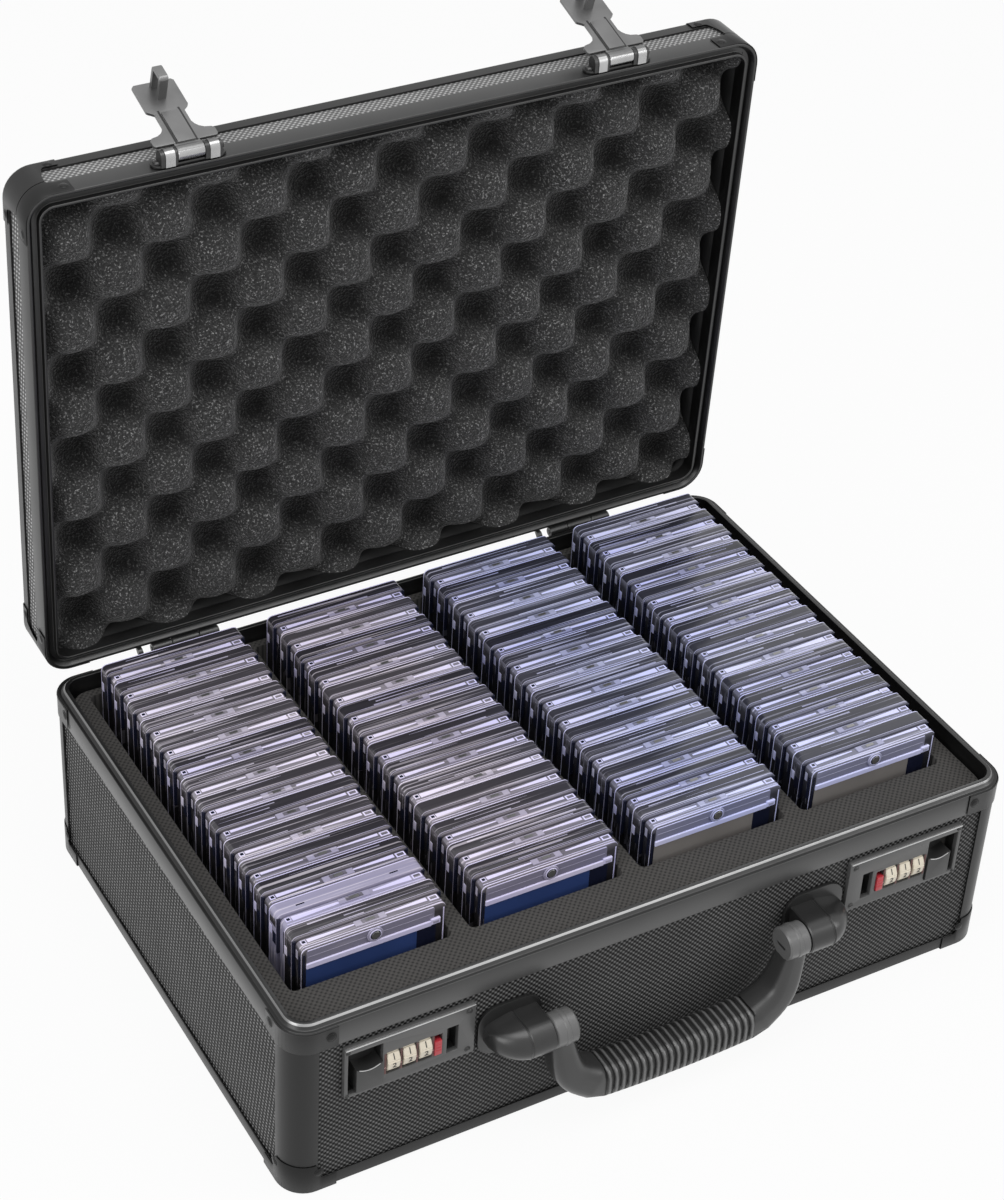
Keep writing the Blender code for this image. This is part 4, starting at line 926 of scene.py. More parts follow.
def cardRows():
    wander = random.Random(holders["wander"])
    places, half, near, far, deep = holderParts["slots"]
    top = holders["top"]
    for row in range(4):
        middle = (row - 1.5) * insert["slotPitch"] + insert["rowShift"] - gap
        bm = bmesh.new()
        for index in range(holders["count"]):
            rear = holders["rear"] - index * holders["thick"]
            pale = row == 0 and index == holders["count"] - 2
            oneHolder(bm, middle + wander.uniform(-0.0002, 0.0002), rear, wander, pale)
            # the thick holder's two slots, painted as navy patches of shade
            for place in places if pale else ():
                wedge(bm, (middle + place - half, middle + place + half), (rear - far, rear - near), (1, 1),
                      top - deep,
                      top + hair, 4)
        holderFace(bm, middle, rear - holders["thick"] + hair)
        finishes = "clearDeep clearPale clearMilk whiteBar navyGap magnetBrass %s facePane"
        count = row + 1
        addPiece("holders_%d" % count, bm, finishes % ("blankCard" if row > 1 else "darkCard"),
                 "row_%d" % count,
                 "card_row_%d" % count)


cardRows()
print("holders are in their slots")

# Lid

lid = dict(rimHeight=0.0120, bandHeight=0.0110, grooveDepth=0.0031, grooveSlack=0.0004, lip=0.0013,
           legDrop=0.0080, cover=0.0070, ease=0.0016, capReach=0.0256, earReach=0.0150, seam=0.0122,
           flange=0.0055, rimCornerHeight=0.0100, rivetUp=0.0262, rivetAlong=0.0210, rimRivetUp=0.0051)


def lidFrames():
    bandLow = lidLow + lid["rimHeight"] - gap
    bandHigh = bandLow + lid["bandHeight"]
    slack, leg = lid["grooveSlack"], lidLow + lid["legDrop"]
    grooveTop, grooveEnd = lidLow + lid["grooveDepth"], topEnd + slack
    web, lipEnd = grooveTop + rims["web"], grooveEnd + lid["lip"]
    profile = [
        (0, lidLow), (rims["ledge"] - slack, lidLow), (slopeEnd - slack, grooveTop), (grooveEnd, grooveTop),
        (grooveEnd, lidLow), (lipEnd, lidLow), (lipEnd, leg), (rims["inner"], leg), (rims["inner"], web),
        (skin, web),
        (skin, bandLow), (0, bandLow),
    ]
    bm = sweep(bmesh.new(), ringStations(), filleted(profile, rims["ease"]), True)
    addPiece("lidRim", bm, "anodisedRim", "lid", "lid_rim_frame")
    ease, cover, inside = lid["ease"], lid["cover"], lidTop - gap - skin
    profile = [(0, bandHigh)] + arc(ease, lidTop - ease, ease, 180, 90, 5)
    profile += [(cover, lidTop), (cover, inside), (skin, inside), (skin, bandHigh)]
    bm = sweep(bmesh.new(), ringStations(), profile, True)
    addPiece("lidOuterFrame", bm, "anodisedBlack", "lid", "lid_outer_frame")


def capProfile(reach):
    ease, flange = lid["ease"], lid["flange"]
    low = baseTop + lid["seam"] + earHeight(reach, lid["earReach"], lid["rimHeight"], 0)
    low = min(low, lidTop - ease)
    crown = arc(ease, lidTop - ease, ease + gap + sheet, 180, 90, 5)
    under = arc(ease, lidTop - ease, ease + gap, 90, 180, 5)
    return [(skinOut, low)] + crown + [(flange, lidTop + gap + sheet),
                                       (flange, lidTop + gap)] + under + [(-gap, low)]


def rimCornerProfile(reach):
    high = baseTop + earHeight(reach, lid["earReach"], lid["rimCornerHeight"], lid["seam"] - gap)
    return [(skinOut + thread, lidLow), (skinOut, lidLow + 0.0003), (skinOut, high - thread),
            (skinOut + thread, high),
            (-gap, high), (-gap, lidLow)]


def lidCorners():
    extra = earStations(lid["earReach"])
    for name, side in cornerNames.items():
        bm = sweep(bmesh.new(), cornerStations(*side, lid["capReach"], lid["capReach"], extra), capProfile,
                   False)
        cornerRivets(bm, *side, lid["rivetAlong"], baseTop + lid["rivetUp"], guards["rivet"])
        addPiece("lidCap_" + name, bm, "pressedBlack", "lid", "lid_cap_" + name)
        path = cornerStations(*side, guards["rimReach"], guards["rimReach"], extra)
        bm = sweep(bmesh.new(), path, rimCornerProfile, False)
        cornerRivets(bm, *side, guards["rimRivetAlong"], baseTop + lid["rimRivetUp"], guards["rimRivet"])
        addPiece("lidRimCorner_" + name, bm, "pressedBlack", "lid", "lid_rim_corner_" + name)


crate = dict(reachX=0.1925, reachY=0.1340, step=0.0024, period=0.0500, originX=-0.0010, originY=-0.0340,
             valley=0.0055, peak=0.0225, keep=0.5, fill=0.6, seed=7, steep=2.1, behind=0.0006,
             lining=(0.1948, 0.1358, 0.0090, 5), ring=(0.0062, 0.0067))


def crateHeight(x, y):
    turn = 2 * math.pi / crate["period"]
    drift = noise.noise_vector(Vector((x * 14, y * 14, 0.3))) * 0.0022
    u, v = x - crate["originX"] + drift.x, y - crate["originY"] + drift.y
    wave = math.tanh(crate["steep"] * math.cos(turn * u) * math.cos(turn * v)) / math.tanh(crate["steep"])
    rough = noise.noise(Vector((x * 60, y * 60, 4.0))) * 0.0009
    rough += noise.noise(Vector((x * 16, y * 16, 9.0))) * 0.0012
    return crate["valley"] + (crate["peak"] - crate["valley"]) * (0.5 + 0.5 * wave) + rough


def lidFoam():
    # without a seed, noise_vector shifts its field by an offset drawn anew in each run
    noise.seed_set(crate["seed"])
    back = case["ceiling"] - crate["behind"]
    spans = []
    for reach in (crate["reachX"], crate["reachY"]):
        count = round(2 * reach / crate["step"])
        spans.append([reach * (2 * index / count - 1) for index in range(count + 1)])
    bm = bmesh.new()
    lines = [[bm.verts.new((x, y, back - crateHeight(x, y))) for x in spans[0]] for y in spans[1]]
    for one, other in zip(lines, lines[1:]):
        for index in range(len(one) - 1):
            bm.faces.new((one[index], other[index], other[index + 1], one[index + 1]))
    made = bmesh.ops.extrude_edge_only(bm, edges=[edge for edge in bm.edges if edge.is_boundary])["geom"]
    for vert in (part for part in made if isinstance(part, bmesh.types.BMVert)):
        vert.co.z = back
    bmesh.ops.holes_fill(bm, edges=[edge for edge in bm.edges if edge.is_boundary])
    piece = addPiece("lidFoam", bm, "crateFoam", "lid", "lid_foam", smooth=60)
    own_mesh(piece)
    # smooth dark lining behind the foam and round the inside of the wall
    bm = prism(bmesh.new(), roundedBox(*crate["lining"]), back + hair, case["ceiling"] - thread)
    (near, far), leg = crate["ring"], lidLow + lid["legDrop"]
    sweep(bm, ringStations(), [(near, leg), (near, back), (far, back), (far, leg)], True)
    addPiece("lidLining", bm, "liningCloth", "lid", None)


lidFrames()
lidCorners()
lidFoam()
# painted light: the lid's wall takes a lighter copy of the studded sheet
repaint("lid_wall", "studdedWall")
repaint("lid_panel", "studdedPanel")
print("lid is up")

# Hinges

hinges = dict(middles={"left": -0.1222, "right": 0.1192}, width=0.0380, knuckle=0.0029, leaf=0.0012,
              share=0.4, baseLeaf=0.0220, lidLeaf=0.0180, arm=0.0033, stopReach=0.0065, stopWidth=0.0026,
              stopOffset=0.0058, ease=0.0003, pin=0.0012, pinProud=0.0004, rivet=0.0016,
              tab=(-0.0110, 0.0020, 0.0144))


def hingeStop(bm, start):
    # bent arm of the lid's leaf, which meets the case's back when the lid is open
    face, arm, reach = -hinges["knuckle"], hinges["arm"], -hinges["stopReach"]
    inner = face + hinges["leaf"]
    angle = math.radians(case["lidAngle"])
    bent = [(a * math.cos(angle) - b * math.sin(angle), a * math.sin(angle) + b * math.cos(angle))
            for a, b in ((face, reach), (inner, reach), (inner, face / 2))]
    bend = arc(0, 0, hinges["knuckle"], 180, 180 + case["lidAngle"], 8)
    points = [(inner, arm * 2), (face, arm * 2)] + bend + bent + [(inner, arm / 2)]
    low = start - hinges["stopOffset"] - hinges["stopWidth"]
    placed = [(hingeAxis.y + a, baseTop + b) for a, b in points]
    return prism(bm, placed, low, low + hinges["stopWidth"], "X")


def hingePieces():
    y, knuckle, arm, ease = hingeAxis.y, hinges["knuckle"], hinges["arm"], hinges["ease"]
    axis, near, far = (y, baseTop), y - knuckle, y - knuckle + hinges["leaf"]
    half = hinges["width"] / 2
    inner = half * hinges["share"]
    tabLow, tabHigh, tabTop = hinges["tab"]
    for name, middle in hinges["middles"].items():
        start, end, outer = middle - half, middle + half, inner + gap
        still, moving = bmesh.new(), bmesh.new()
        box(still, (start, near, baseTop - hinges["baseLeaf"]), (end, far, baseTop - arm), ease)
        for low, high in ((start, middle - outer), (middle + outer, end)):
            disc(still, knuckle, low, high, axis, points=28, ease=ease)
            box(still, (low, near, baseTop - arm - hinges["leaf"]), (high, far, baseTop), ease)
            for share in (0.25, 0.75):
                rivet(still, low + (high - low) * share, far, baseTop - hinges["baseLeaf"] * 0.62, (0, 1, 0),
                      hinges["rivet"])
        disc(still, hinges["pin"], start - hinges["pinProud"], end + hinges["pinProud"], axis, points=16,
             ease=thread)
        box(moving, (start, near, baseTop + arm), (end, far, baseTop + hinges["lidLeaf"]), ease)
        box(moving, (start + tabLow, near, baseTop + arm * 1.5), (start + tabHigh, far, baseTop + tabTop),
            ease)
        disc(moving, knuckle, middle - inner, middle + inner, axis, points=28, ease=ease)
        box(moving, (middle - inner, near, baseTop), (middle + inner, far, baseTop + arm + hinges["leaf"]),
            ease)
        hingeStop(moving, start)
        addPiece("hingeBase_" + name, still, "blackSteel", "base", "hinge_base_leaf_" + name)
        addPiece("hingeLid_" + name, moving, "blackSteel", "lid", "hinge_lid_leaf_" + name)


hingePieces()
print("hinges are finished")

# Combination locks

locks = dict(
    x=0.1393, z=0.0730, width=0.0680, height=0.0320, front=0.0016, corner=0.0012, depth=0.0150, ease=0.0004,
    lip=0.0006,
    wheels=(-0.0088, -0.0005, 0.0078), wheelZ=-0.0026, wheelRadius=0.0080, wheelWidth=0.0064,
    wheelProud=0.0017,
    wheelTurn=27, windowHalf=0.0068, wellHalf=0.0083, lever=0.0144, leverWidth=0.0039, leverLow=-0.0086,
    leverHeight=0.0090, leverTop=0.0037, slot=0.0222, slotHalf=0.0029, slotLow=-0.0105, slotHigh=0.0055,
    pocket=(-0.0320, -0.0143, -0.0140, 0.0115), travel=0.0035, barFront=0.0056, barThick=0.0026,
    barHeight=0.0035,
    digitSize=0.0046, digitThick=0.00004, axle=0.0012, worn=0.00028,
    # across, up and size of the screws; where the bars between the wheels stand
    screws=((-0.0322, 0.0132, 0.0010), (-0.0325, -0.0148, 0.0008), (0.0305, 0.0118, 0.0013),
            (0.0305, -0.0128, 0.0013)),
    bars=(-0.01295, -0.00465, 0.00365, 0.0120),
    # level along the axle from each end, less than the radius, for the wheels' rings
    flats=((-0.42, 0), (-0.30, 0), (0.30, 0), (0.42, 0), (0.5, 0.0005)),
)
axle = Vector((0, -halfY - locks["front"] - locks["wheelProud"] + locks["wheelRadius"],
               locks["z"] + locks["wheelZ"]))


def lockPlace(side):
    return lambda a, b, c: (side * (locks["x"] - a), -halfY - c, locks["z"] + b)


def lockBox(bm, side, across, up, out, ease=thread, kind=0):
    # a block in a lock's own terms: across from its middle, up from its middle, out from the case's face
    ends = list(zip(*(lockPlace(side)(*values) for values in zip(across, up, out))))
    return box(bm, [min(pair) for pair in ends], [max(pair) for pair in ends], ease, kind)


def span(low, high, bottom, top, corner=0.0004):
    return roundedBox((high - low) / 2, (top - bottom) / 2, corner, 3, ((low + high) / 2, (bottom + top) / 2))


def lockPlate(name, side):
    half, rise, front, depth = locks["width"] / 2, locks["height"] / 2, locks["front"], locks["depth"]
    wheelZ, wheels, place = locks["wheelZ"], locks["wheels"], lockPlace(side)
    holes, wells = [], []
    reach = locks["wheelWidth"] / 2 + gap
    for made, tall in ((holes, locks["windowHalf"]), (wells, locks["wellHalf"])):
        made += [span(middle - reach, middle + reach, wheelZ - tall, wheelZ + tall) for middle in wheels]
    reach = locks["leverWidth"] / 2 + gap
    lever = (locks["lever"] - reach, locks["lever"] + reach, locks["leverLow"] - 0.0003, locks["leverTop"])
    slot = (locks["slot"] - locks["slotHalf"], locks["slot"] + locks["slotHalf"], locks["slotLow"],
            locks["slotHigh"])
    for made in (holes, wells):
        made += [span(*edges) for edges in (lever, slot, locks["pocket"])]
    bm = bmesh.new()
    plateWithHoles(bm, roundedBox(half, rise, locks["corner"]), holes, -0.0009, front, locks["ease"], place)
    # painted shade: the wells behind the holes, and a sheet at their back, in near black
    plateWithHoles(bm, roundedBox(half - 0.001, rise - 0.001, 0.0008, 2), wells, 0.0006 - depth, -0.0010, 0,
                   place, 1)
    lockBox(bm, side, (0.001 - half, half - 0.001), (0.001 - rise, rise - 0.001), (-depth, 0.0005 - depth), 0,
            1)
    # raised lip along the top edge, painted pale as a highlight
    lockBox(bm, side, (0.0004 - half, half - 0.0004), (rise - 0.0011, rise - 0.0004),
            (front - thread, front + locks["lip"]), thread, 2)
    # screws, each with its slot painted near black as shade
    for across, up, size in locks["screws"]:
        rivet(bm, *place(across, up, front), (0, -1, 0), size, 3)
        lockBox(bm, side, (across - size * 0.8, across + size * 0.8), (up - thread, up + thread),
                (front + hair, front + 0.00056), 0, 1)
    # dark red bars between the wheels, crossed by the index line
    for middle in locks["bars"]:
        across = (middle - 0.0005, middle + 0.0005)
        lockBox(bm, side, across, (wheelZ - 0.0064, wheelZ + 0.0064), (front - hair, front + hair), 0, 4)
        lockBox(bm, side, across, (wheelZ - 0.0026, wheelZ - 0.0021), (front, front + 0.00016), 0, 5)
    ends = sorted(place(end, 0, 0)[0] for end in (wheels[0] - 0.0045, wheels[2] + 0.0042))
    disc(bm, locks["axle"], *ends, axle.yz, points=12, kind=6)
    addPiece("lockPlate_" + name, bm,
             "lockPlastic deepBlack litEdge blackSteel darkRed indexLine brightSteel", "base",
             "lock_plate_" + name)


def digitMesh(digit):
    # a printed digit, as a thin mesh on its own flat
    curve = bpy.data.curves.new("digit%d" % digit, "FONT")
    curve.body = str(digit)
    curve.size, curve.extrude = locks["digitSize"], locks["digitThick"]
    curve.align_x = curve.align_y = "CENTER"
    made = addObject("digit%d" % digit, curve)
    mesh = bpy.data.meshes.new_from_object(made)
    bpy.data.objects.remove(made)
    bpy.data.curves.remove(curve)
    return mesh


def wheelRing(x, size):
    # the ten flats at one size, with a notch between neighbours
    ring = []
    for flat in range(10):
        for share, notch in locks["flats"]:
            angle = math.radians(36 * (flat + share) + locks["wheelTurn"])
            reach = size
            if size > 0.002:
                lean = math.radians(36 * min(abs(share), 0.42))
                reach = (size - notch) * math.cos(math.radians(18)) / math.cos(lean) * 1.045
            reach = min(reach, locks["wheelRadius"])
            ring.append((x, axle.y - reach * math.cos(angle), axle.z + reach * math.sin(angle)))
    return ring


def lockWheels(name, side, digits):
    radius, half = locks["wheelRadius"], locks["wheelWidth"] / 2
    rings = ((-half, 0.0010), (-half, radius - 0.0005), (0.0004 - half, radius), (half - 0.0004, radius),
             (half, radius - 0.0005), (half, 0.0010))
    for index, middle in enumerate(locks["wheels"]):
        x = lockPlace(side)(middle, 0, 0)[0]
        bm = loft(bmesh.new(), [wheelRing(x + level, size) for level, size in rings])
        for flat in range(10):
            angle = math.radians(locks["wheelTurn"] - 36 * flat)
            out = Vector((0, -math.cos(angle), math.sin(angle)))
            up = Vector((0, math.sin(angle), math.cos(angle)))
            matrix = Matrix((Vector((1, 0, 0)), up, out)).transposed().to_4x4()
            matrix.translation = Vector((x, axle.y, axle.z)) + out * (radius * 0.9945)
            part = bmesh.new()
            part.from_mesh(digits[(1 + flat) % 10])
            join(bm, part, 1, matrix)
        wheel = "%s_%d" % (name, index + 1)
        addPiece("lockWheel_" + wheel, bm, "ivoryWheel digitInk", "%s_wheel_%d" % (name, index + 1),
                 "lock_wheel_" + wheel, smooth=20)


def lockSlide(name, side):
    left, right, low, high = locks["pocket"]
    left, right, low, ceiling = left + gap + locks["travel"], right - gap, low + gap, high - gap
    proud, place = locks["front"] + 0.0010, lockPlace(side)
    front, back = -locks["barFront"], -locks["barFront"] - locks["barThick"]
    shares = [step / 10 for step in range(10, -1, -1)]
    top = [(left + (right - left) * share, 0.0010 - 0.0022 * math.sin(math.pi * share)) for share in shares]
    outline = [(left, low), (right, low)] + top
    bm = loft(bmesh.new(), [[place(a, b, level) for a, b in outline] for level in (back, proud)])
    easeEdges(bm, 0.0003, 2, 50)
    # painted highlight: a thin bright tube along the curved top
    angles = [index * math.pi / 3 for index in range(6)]
    turns = [Vector((0, math.cos(angle), math.sin(angle))) for angle in angles]
    rings = []
    for a, b in top[1:-1]:
        spot = Vector(place(a, b - hair, proud - 0.00015))
        rings.append([spot + turn * locks["worn"] for turn in turns])
    loft(bm, rings, kind=1)
    endBar = locks["slot"] - locks["slotHalf"] - gap
    lockBox(bm, side, (left + 0.0003, right - 0.0003), (low + 0.0003, ceiling), (back + 0.0003, front), hair)
    lockBox(bm, side, (right - 0.002, endBar), (ceiling - locks["barHeight"], ceiling - 0.0003),
            (back, front), hair)
    lockBox(bm, side, (endBar - 0.0021, endBar - 0.00015), (-0.0046, ceiling - 0.00175),
            (back + 0.00015, front - 0.00015), hair)
    # rounded steel tongue that shows in the staple's slot
    tongue = span(endBar - 0.0010, endBar + 0.0041, -0.0046, -0.0006, 0.0012)
    loft(bm, [[place(a, b, level) for a, b in tongue] for level in (back + 0.0003, front - 0.0003)], kind=2)
    addPiece("lockSlide_" + name, bm, "blackPlastic litEdge brightSteel", name + "_slide",
             "lock_slide_" + name)


def lockLever(name, side):
    half, low, front = locks["leverWidth"] / 2, locks["leverLow"], locks["front"]
    left, right = locks["lever"] - half, locks["lever"] + half
    bm = lockBox(bmesh.new(), side, (left, right), (low, low + locks["leverHeight"]),
                 (-0.0039, front + 0.0008), 0.0006)
    for share in (0.3, 0.5, 0.7):
        up = low + locks["leverHeight"] * share
        lockBox(bm, side, (left + 0.0005, right - 0.0005), (up - 0.0003, up + 0.0003),
                (front + 0.0006, front + 0.00095), hair)
    addPiece("lockLever_" + name, bm, "redPlastic", name + "_lever", "lock_lever_" + name)


digits = [digitMesh(digit) for digit in range(10)]
for name, side in sides.items():
    lockPlate(name, side)
    lockWheels(name, side, digits)
    lockSlide(name, side)
    lockLever(name, side)
for mesh in digits:
    bpy.data.meshes.remove(mesh)
print("locks are finished")

# Hasps: a riveted bracket on the lid and a strap that hangs from its pin

hasps = dict(x=0.1171, pinRise=0.0036, pinProud=0.0055, pinRadius=0.0014, pinEnd=0.0014, loop=0.0035,
             loopWidth=0.0085, knuckle=0.0136, bracketHalf=0.01925, plateHeight=0.0094, plateThick=0.0014,
             rivet=0.0024, rivetProud=0.0013, turned=165, length=0.0452, thick=0.0016, wing=0.0330,
             wingLength=0.0060, waist=0.0150, waistEnd=0.0240, tip=0.0216, ribWidth=0.0090, ribProud=0.0008,
             backHalf=0.0072, staple=0.0380, stapleWidth=0.0046, stapleSpan=0.0100, stapleWire=0.0020,
             stapleLength=0.0132)
haspPin = Vector((0, -halfY - hasps["pinProud"], baseTop + hasps["pinRise"]))


def haspBracket(name, middle):
    half, rise, thick = hasps["bracketHalf"], hasps["plateHeight"] / 2, hasps["plateThick"]
    radius, face, centre, ear = hasps["loop"], -halfY - gap, lidLow + gap + rise, rise * 0.8
    outline = arc(middle - half + ear, centre, ear, 270, 90, 10) + arc(middle + half - ear, centre, ear, 90,
                                                                       -90, 10)
    bm = easeEdges(prism(bmesh.new(), outline, face - thick, face, "Y"), 0.0003)
    inner = hasps["knuckle"] / 2 + gap
    outer = inner + hasps["loopWidth"]
    for low, high in ((-outer, -inner), (inner, outer)):
        # each loop: a dark curl with a pale band round it, a painted highlight
        for reach, ends, kind in ((radius - 0.0004, (low, high), 0),
                                  (radius, (low + 0.0022, high - 0.0014), 1)):
            curl = arc(haspPin.y, haspPin.z, reach, 90, 270, 14)
            curl = [(face - 0.0007, haspPin.z + reach)] + curl + [(face - 0.0007, haspPin.z - reach)]
            prism(bm, curl, middle + ends[0], middle + ends[1], "X", kind)
    pin, stop = hasps["pinRadius"], middle + outer + hasps["pinEnd"]
    disc(bm, pin, middle - outer + 0.0003, stop, haspPin.yz, points=18, ease=0.0003)
    disc(bm, pin + 0.0005, middle + outer + thread, stop, haspPin.yz, points=18, ease=0.0003)
    for sign in (-1, 1):
        rivet(bm, middle + sign * (half - ear), face - thick, centre, (0, -1, 0), hasps["rivet"], 0,
              hasps["rivetProud"])
    # painted highlight: the band's faces that look down keep the brightest finish, the rest take a less
    # bright one
    tint(bm, 2, lambda look, spot, kind: kind == 1 and look.z >= -0.45)
    addPiece("haspBracket_" + name, bm, "blackSteel brightSteel strapSteel", "lid", "hasp_bracket_" + name)


def strapOutline():
    # half the strap's width at each place along it: wings, waist, tip
    start = hasps["loop"] + gap
    wing, reach, waist, tip = hasps["wingLength"], hasps["wing"] / 2, hasps["waist"] / 2, hasps["tip"] / 2
    end, length = hasps["waistEnd"], hasps["length"]
    return [
        (start, reach - 0.0010), (start + 0.0012, reach), (start + wing - 0.0014, reach),
        (start + wing, reach - 0.0012),
        (start + wing * 1.12, waist + 0.0044), (start + wing * 1.35, waist + 0.0022),
        (start + wing * 1.65, waist + 0.0008), (start + wing * 2, waist), (end, waist),
        (end + 0.0012, waist + 0.0014),
        (end + 0.0022, tip - 0.0006), (end + 0.0030, tip), (length - 0.0012, tip), (length, tip - 0.0012),
    ]


def haspStrap(name, middle):
    face = -halfY - locks["front"] - gap - hasps["ribProud"]
    thick, pin, loop, rib = hasps["thick"], haspPin, hasps["loop"], hasps["ribWidth"] / 2
    waistEnd, back = pin.z - hasps["waistEnd"], face - thick
    half = strapOutline()
    outline = [(middle + width, pin.z - along) for along, width in half]
    outline += [(middle - width, pin.z - along) for along, width in reversed(half)]
    bm = easeEdges(prism(bmesh.new(), outline, back, face, "Y"), 0.0003)
    start, end = middle - hasps["knuckle"] / 2, middle + hasps["knuckle"] / 2
    disc(bm, loop, start, end, pin.yz, points=28, ease=0.0003, kind=2)
    foot = pin.z - loop - hasps["wingLength"]
    box(bm, (start + thread, back + thread, foot), (end - thread, face - thread, pin.z), thread)
    # raised middle between two pressed grooves, on the inner face that shows when open; the grooves are
    # near-black strips that paint their shade
    ribLow, ribHigh = pin.z - hasps["length"] + 0.0030, pin.z - loop
    box(bm, (middle - rib, face - thick / 2, waistEnd), (middle + rib, face + hasps["ribProud"], ribHigh),
        0.0004)
    for sign in (-1, 1):
        groove = middle + sign * (rib + 0.0007)
        box(bm, (groove - 0.0005, face - hair, waistEnd - 0.002), (groove + 0.0005, face + 0.00005, ribHigh),
            0, 1)
    reach = hasps["backHalf"]
    box(bm, (middle - reach, back - 0.0004, ribLow + 0.0030),
        (middle + reach, back + thread, waistEnd - 0.0030), 0.0003)
    centre, wire, reach = pin.z - hasps["staple"], hasps["stapleWire"], hasps["stapleWidth"] / 2
    high, low = centre + hasps["stapleSpan"] / 2, centre - hasps["stapleSpan"] / 2
    root, bend = face - thick / 2, face + hasps["stapleLength"] - wire
    outer = arc(bend, low + wire, wire, -90, 0, 5) + arc(bend, high - wire, wire, 0, 90, 5)
    staple = [(root, low)] + outer + [(root, high), (root, high - wire), (bend, high - wire),
                                      (bend, low + wire),
                                      (root, low + wire)]
    part = prism(bmesh.new(), staple, middle - reach, middle + reach, "X")
    join(bm, easeEdges(part, thread, 1, 60))
    # painted highlight: only the knuckle's faces that look up keep the bright finish
    tint(bm, 0, lambda look, spot, kind: kind == 2 and look.z <= 0.55)
    addPiece("haspStrap_" + name, bm, "strapSteel deepBlack brightSteel", name + "_hasp",
             "hasp_strap_" + name,
             openLid @ turnAbout(pin, -hasps["turned"]))


for name, side in sides.items():
    haspBracket(name, side * hasps["x"])
    haspStrap(name, side * hasps["x"])
print("hasps are finished")

# Handle

handle = dict(pivot=(-0.154, 0.065), hubInner=0.0593, hubOuter=0.0715, hubRadius=0.0086, drop=0.0420,
              armDrop=0.0300, armWidth=0.0125, armThick=0.0140, gripHalf=0.0427, gripThick=0.0200,
              gripHigh=0.0185, ribs=22, ribDepth=0.0011, bossInner=0.0718, shoulder=0.0850, bossOuter=0.1000,
              bossRadius=0.0090, bossEnd=0.0050, footThick=0.0018, footMargin=0.0060, footRound=0.0100,
              seat=0.0009, axle=0.0026,
              ribSteps=((0, 1), (0.13, 1), (0.24, 0.15), (0.36, 0), (0.64, 0), (0.76, 0.15), (0.87, 1)))
pivotY, pivotZ = handle["pivot"]
gripLow, gripHalf, gripHigh = pivotZ - handle["drop"], handle["gripHalf"], handle["gripHigh"]


def smoothPath(points, steps):
    # a soft line through rows of numbers
    made = []
    last = len(points) - 1
    for index in range(last):
        rows = [points[max(0, index - 1)], points[index], points[index + 1], points[min(last, index + 2)]]
        for share in (step / steps for step in range(steps)):
            made.append(tuple(
                0.5 * (2 * b + (c - a) * share + (2 * a - 5 * b + 4 * c - d) * share**2 +
                       (3 * b - a - 3 * c + d) * share**3) for a, b, c, d in zip(*rows)))
    made.append(tuple(points[-1]))
    return made


def armSections():
    # x, z, width and thickness down the left arm
    bend, armX = handle["armDrop"] / 2, (handle["hubInner"] + handle["hubOuter"]) / 2
    shoulder = pivotZ - handle["hubRadius"]
    width, thick = handle["armWidth"], handle["armThick"]
    points = [(-armX, pivotZ, width, thick)]
    for share, lean in ((0, 0), (0.5, 0.25), (0.75, 0.6)):
        points.append((bend * lean - armX, shoulder - (shoulder - gripLow) * share,
                       width + (gripHigh - width) * share,
                       thick + (handle["gripThick"] - thick) * share))
    points.append((-gripHalf - bend / 3, gripLow + bend / 8, gripHigh, handle["gripThick"]))
    return smoothPath(points, 4)


def gripSections():
    # middle, way, width, thickness and depth of the ribs' cut, from one hub to the other
    arm = armSections()
    sections = []
    for index, (x, z, width, thick) in enumerate(arm):
        before, after = arm[max(0, index - 1)], arm[min(len(arm) - 1, index + 1)]
        along = Vector((after[0] - before[0], 0, after[1] - before[1])).normalized()
        sections.append((Vector((x, pivotY, z)), along, width, thick, 0))
    mirrored = [(Vector((-spot.x, spot.y, spot.z)), Vector((along.x, 0, -along.z)), width, thick, 0)
                for spot, along, width, thick, cut in reversed(sections)]
    steps = [((rib + part) / handle["ribs"], cut) for rib in range(handle["ribs"]) for part,
             cut in handle["ribSteps"]]
    for share, cut in steps + [(1, 1)]:
        place = 2 * share - 1
        spot = Vector((gripHalf * place, pivotY, gripLow - gripHigh / 12 * (1 - place**2)))
        sections.append((spot, Vector((1, 0, 0)), gripHigh, handle["gripThick"], cut))
    return sections + mirrored


def gripRing(spot, along, width, thick, cut):
    across = Vector((-along.z, 0, along.x))
    ring = []
    for a, b in roundedBox(thick / 2, width / 2, min(thick, width) / 3, 5):
        # the ribs run over the top and down the front, and leave a smooth lip below
        lip = 1 if b > -width * 0.36 and a < thick * 0.42 else 0
        shrink = 1 - cut * lip * handle["ribDepth"] / max(0.004, math.hypot(a, b))
        ring.append(spot + Vector((0, a * shrink, 0)) + across * b * shrink)
    return ring


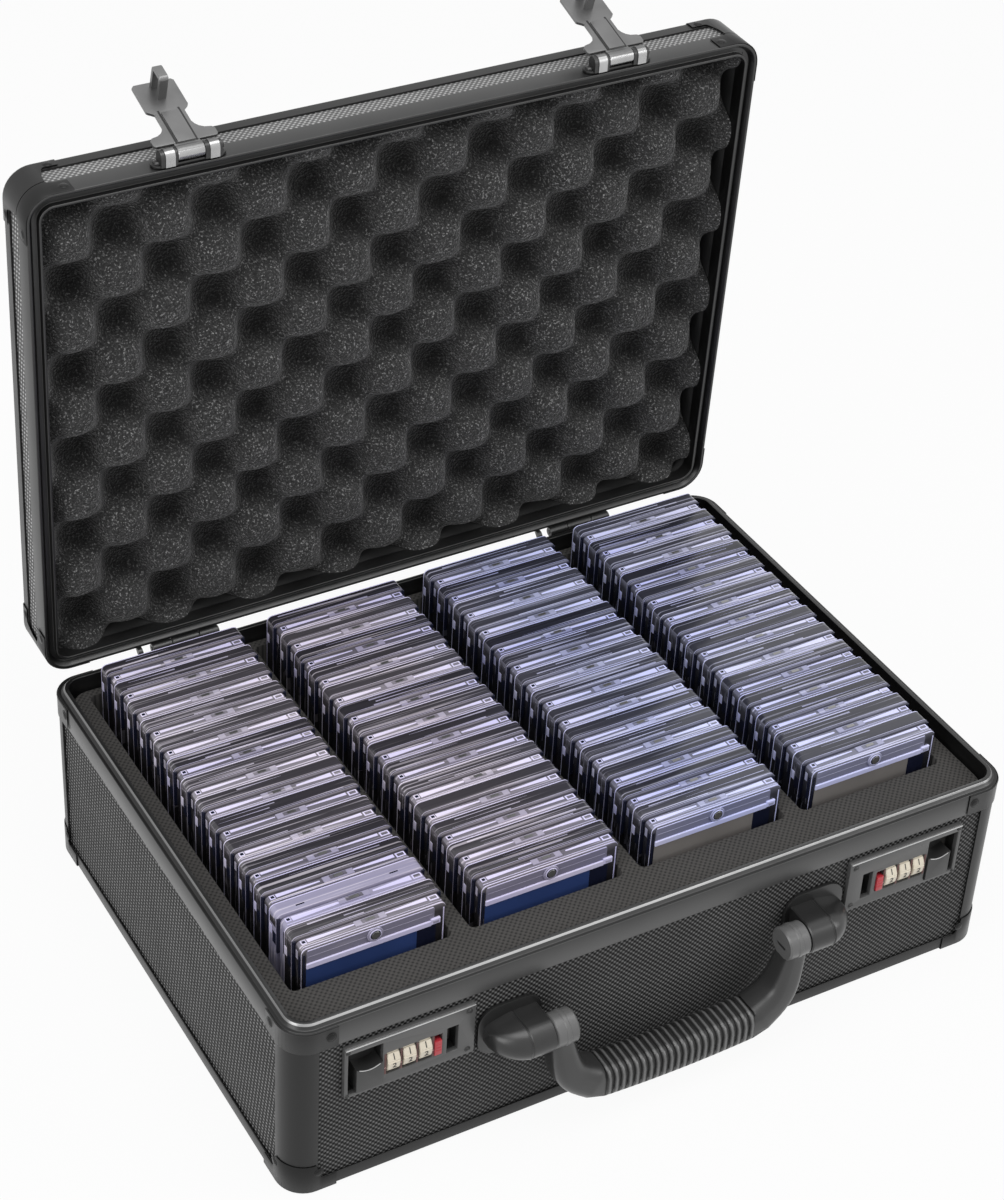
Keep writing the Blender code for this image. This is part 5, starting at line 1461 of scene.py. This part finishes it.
def handleGrip():
    bm = loft(bmesh.new(), [gripRing(*section) for section in gripSections()])
    # painted light and shade: rib crests take a pale copy of the plastic as highlights, the grooves between
    # them near black as shade
    edges = ((1, 0.35, 0.65), (2, 0.85, 1.15))
    for finish, low, high in edges:
        def onRib(look, spot, kind):
            share = (spot.x / gripHalf + 1) / 2 * handle["ribs"] % 1
            upper = abs(spot.x) < gripHalf and spot.z > gripLow - gripHigh * 0.40
            return upper and (low < share < high or low < share + 1 < high)

        tint(bm, finish, onRib)
    for sign in (-1, 1):
        # painted highlight: the hubs and their middle rings take the pale copy of the plastic
        ends = sorted((sign * handle["hubInner"], sign * handle["hubOuter"]))
        disc(bm, handle["hubRadius"], *ends, handle["pivot"], points=36, ease=0.0008, kind=1)
        middle = sum(ends) / 2
        disc(bm, handle["hubRadius"] + 0.0004, middle - 0.0012, middle + 0.0012, handle["pivot"], points=36,
             ease=0.0004, kind=1)
    addPiece("handleGrip", bm, "blackPlastic hubPlastic deepBlack", "handle", "handle_grip",
             smooth=40)


def bossStations():
    # x, share of the way to the sloping end, and what is added to the radius
    inner, shoulder, outer = handle["bossInner"], handle["shoulder"], handle["bossOuter"]
    made = [(inner, 0, -0.0006), (inner + 0.0006, 0, 0), (shoulder - 0.0008, 0, 0),
            (shoulder - 0.0003, 0, -0.0005),
            (shoulder + 0.0002, 0, -0.0005), (shoulder + 0.0006, 0, 0)]
    for share in (step / 8 for step in range(1, 9)):
        made.append((shoulder + (outer - shoulder) * share, share**1.5, 0 if share < 1 else -0.0008))
    return made


def handleBosses():
    seat = -halfY + handle["seat"]
    foot, inner, outer = handle["footThick"], handle["bossInner"], handle["bossOuter"]
    for name, side in sides.items():
        rings = []
        for x, share, grow in bossStations():
            radius = handle["bossRadius"] + (handle["bossEnd"] - handle["bossRadius"]) * share + grow
            front = pivotY + (seat - foot - radius - pivotY) * share
            points = arc(front, pivotZ, radius, 90, 270, 18)
            points = [(seat - gap, points[0][1])] + points + [(seat - gap, points[-1][1])]
            rings.append([(side * x, a, b) for a, b in points])
        bm = loft(bmesh.new(), rings)
        half, rise = (outer - inner + handle["footMargin"]) / 2, handle["bossRadius"] + handle["footMargin"]
        outline = roundedBox(half, rise, handle["footRound"], 10, (side * (inner + outer) / 2, pivotZ))
        join(bm, easeEdges(prism(bmesh.new(), outline, seat - foot, seat, "Y"), 0.0005))
        ends = sorted((side * (handle["hubOuter"] - 0.0087), side * (inner + 0.002)))
        disc(bm, handle["axle"], *ends, handle["pivot"], points=18)
        addPiece("handleBoss_" + name, bm, "bossPlastic", "base", "handle_boss_" + name, smooth=40)


handleGrip()
handleBosses()
print("handle is finished")
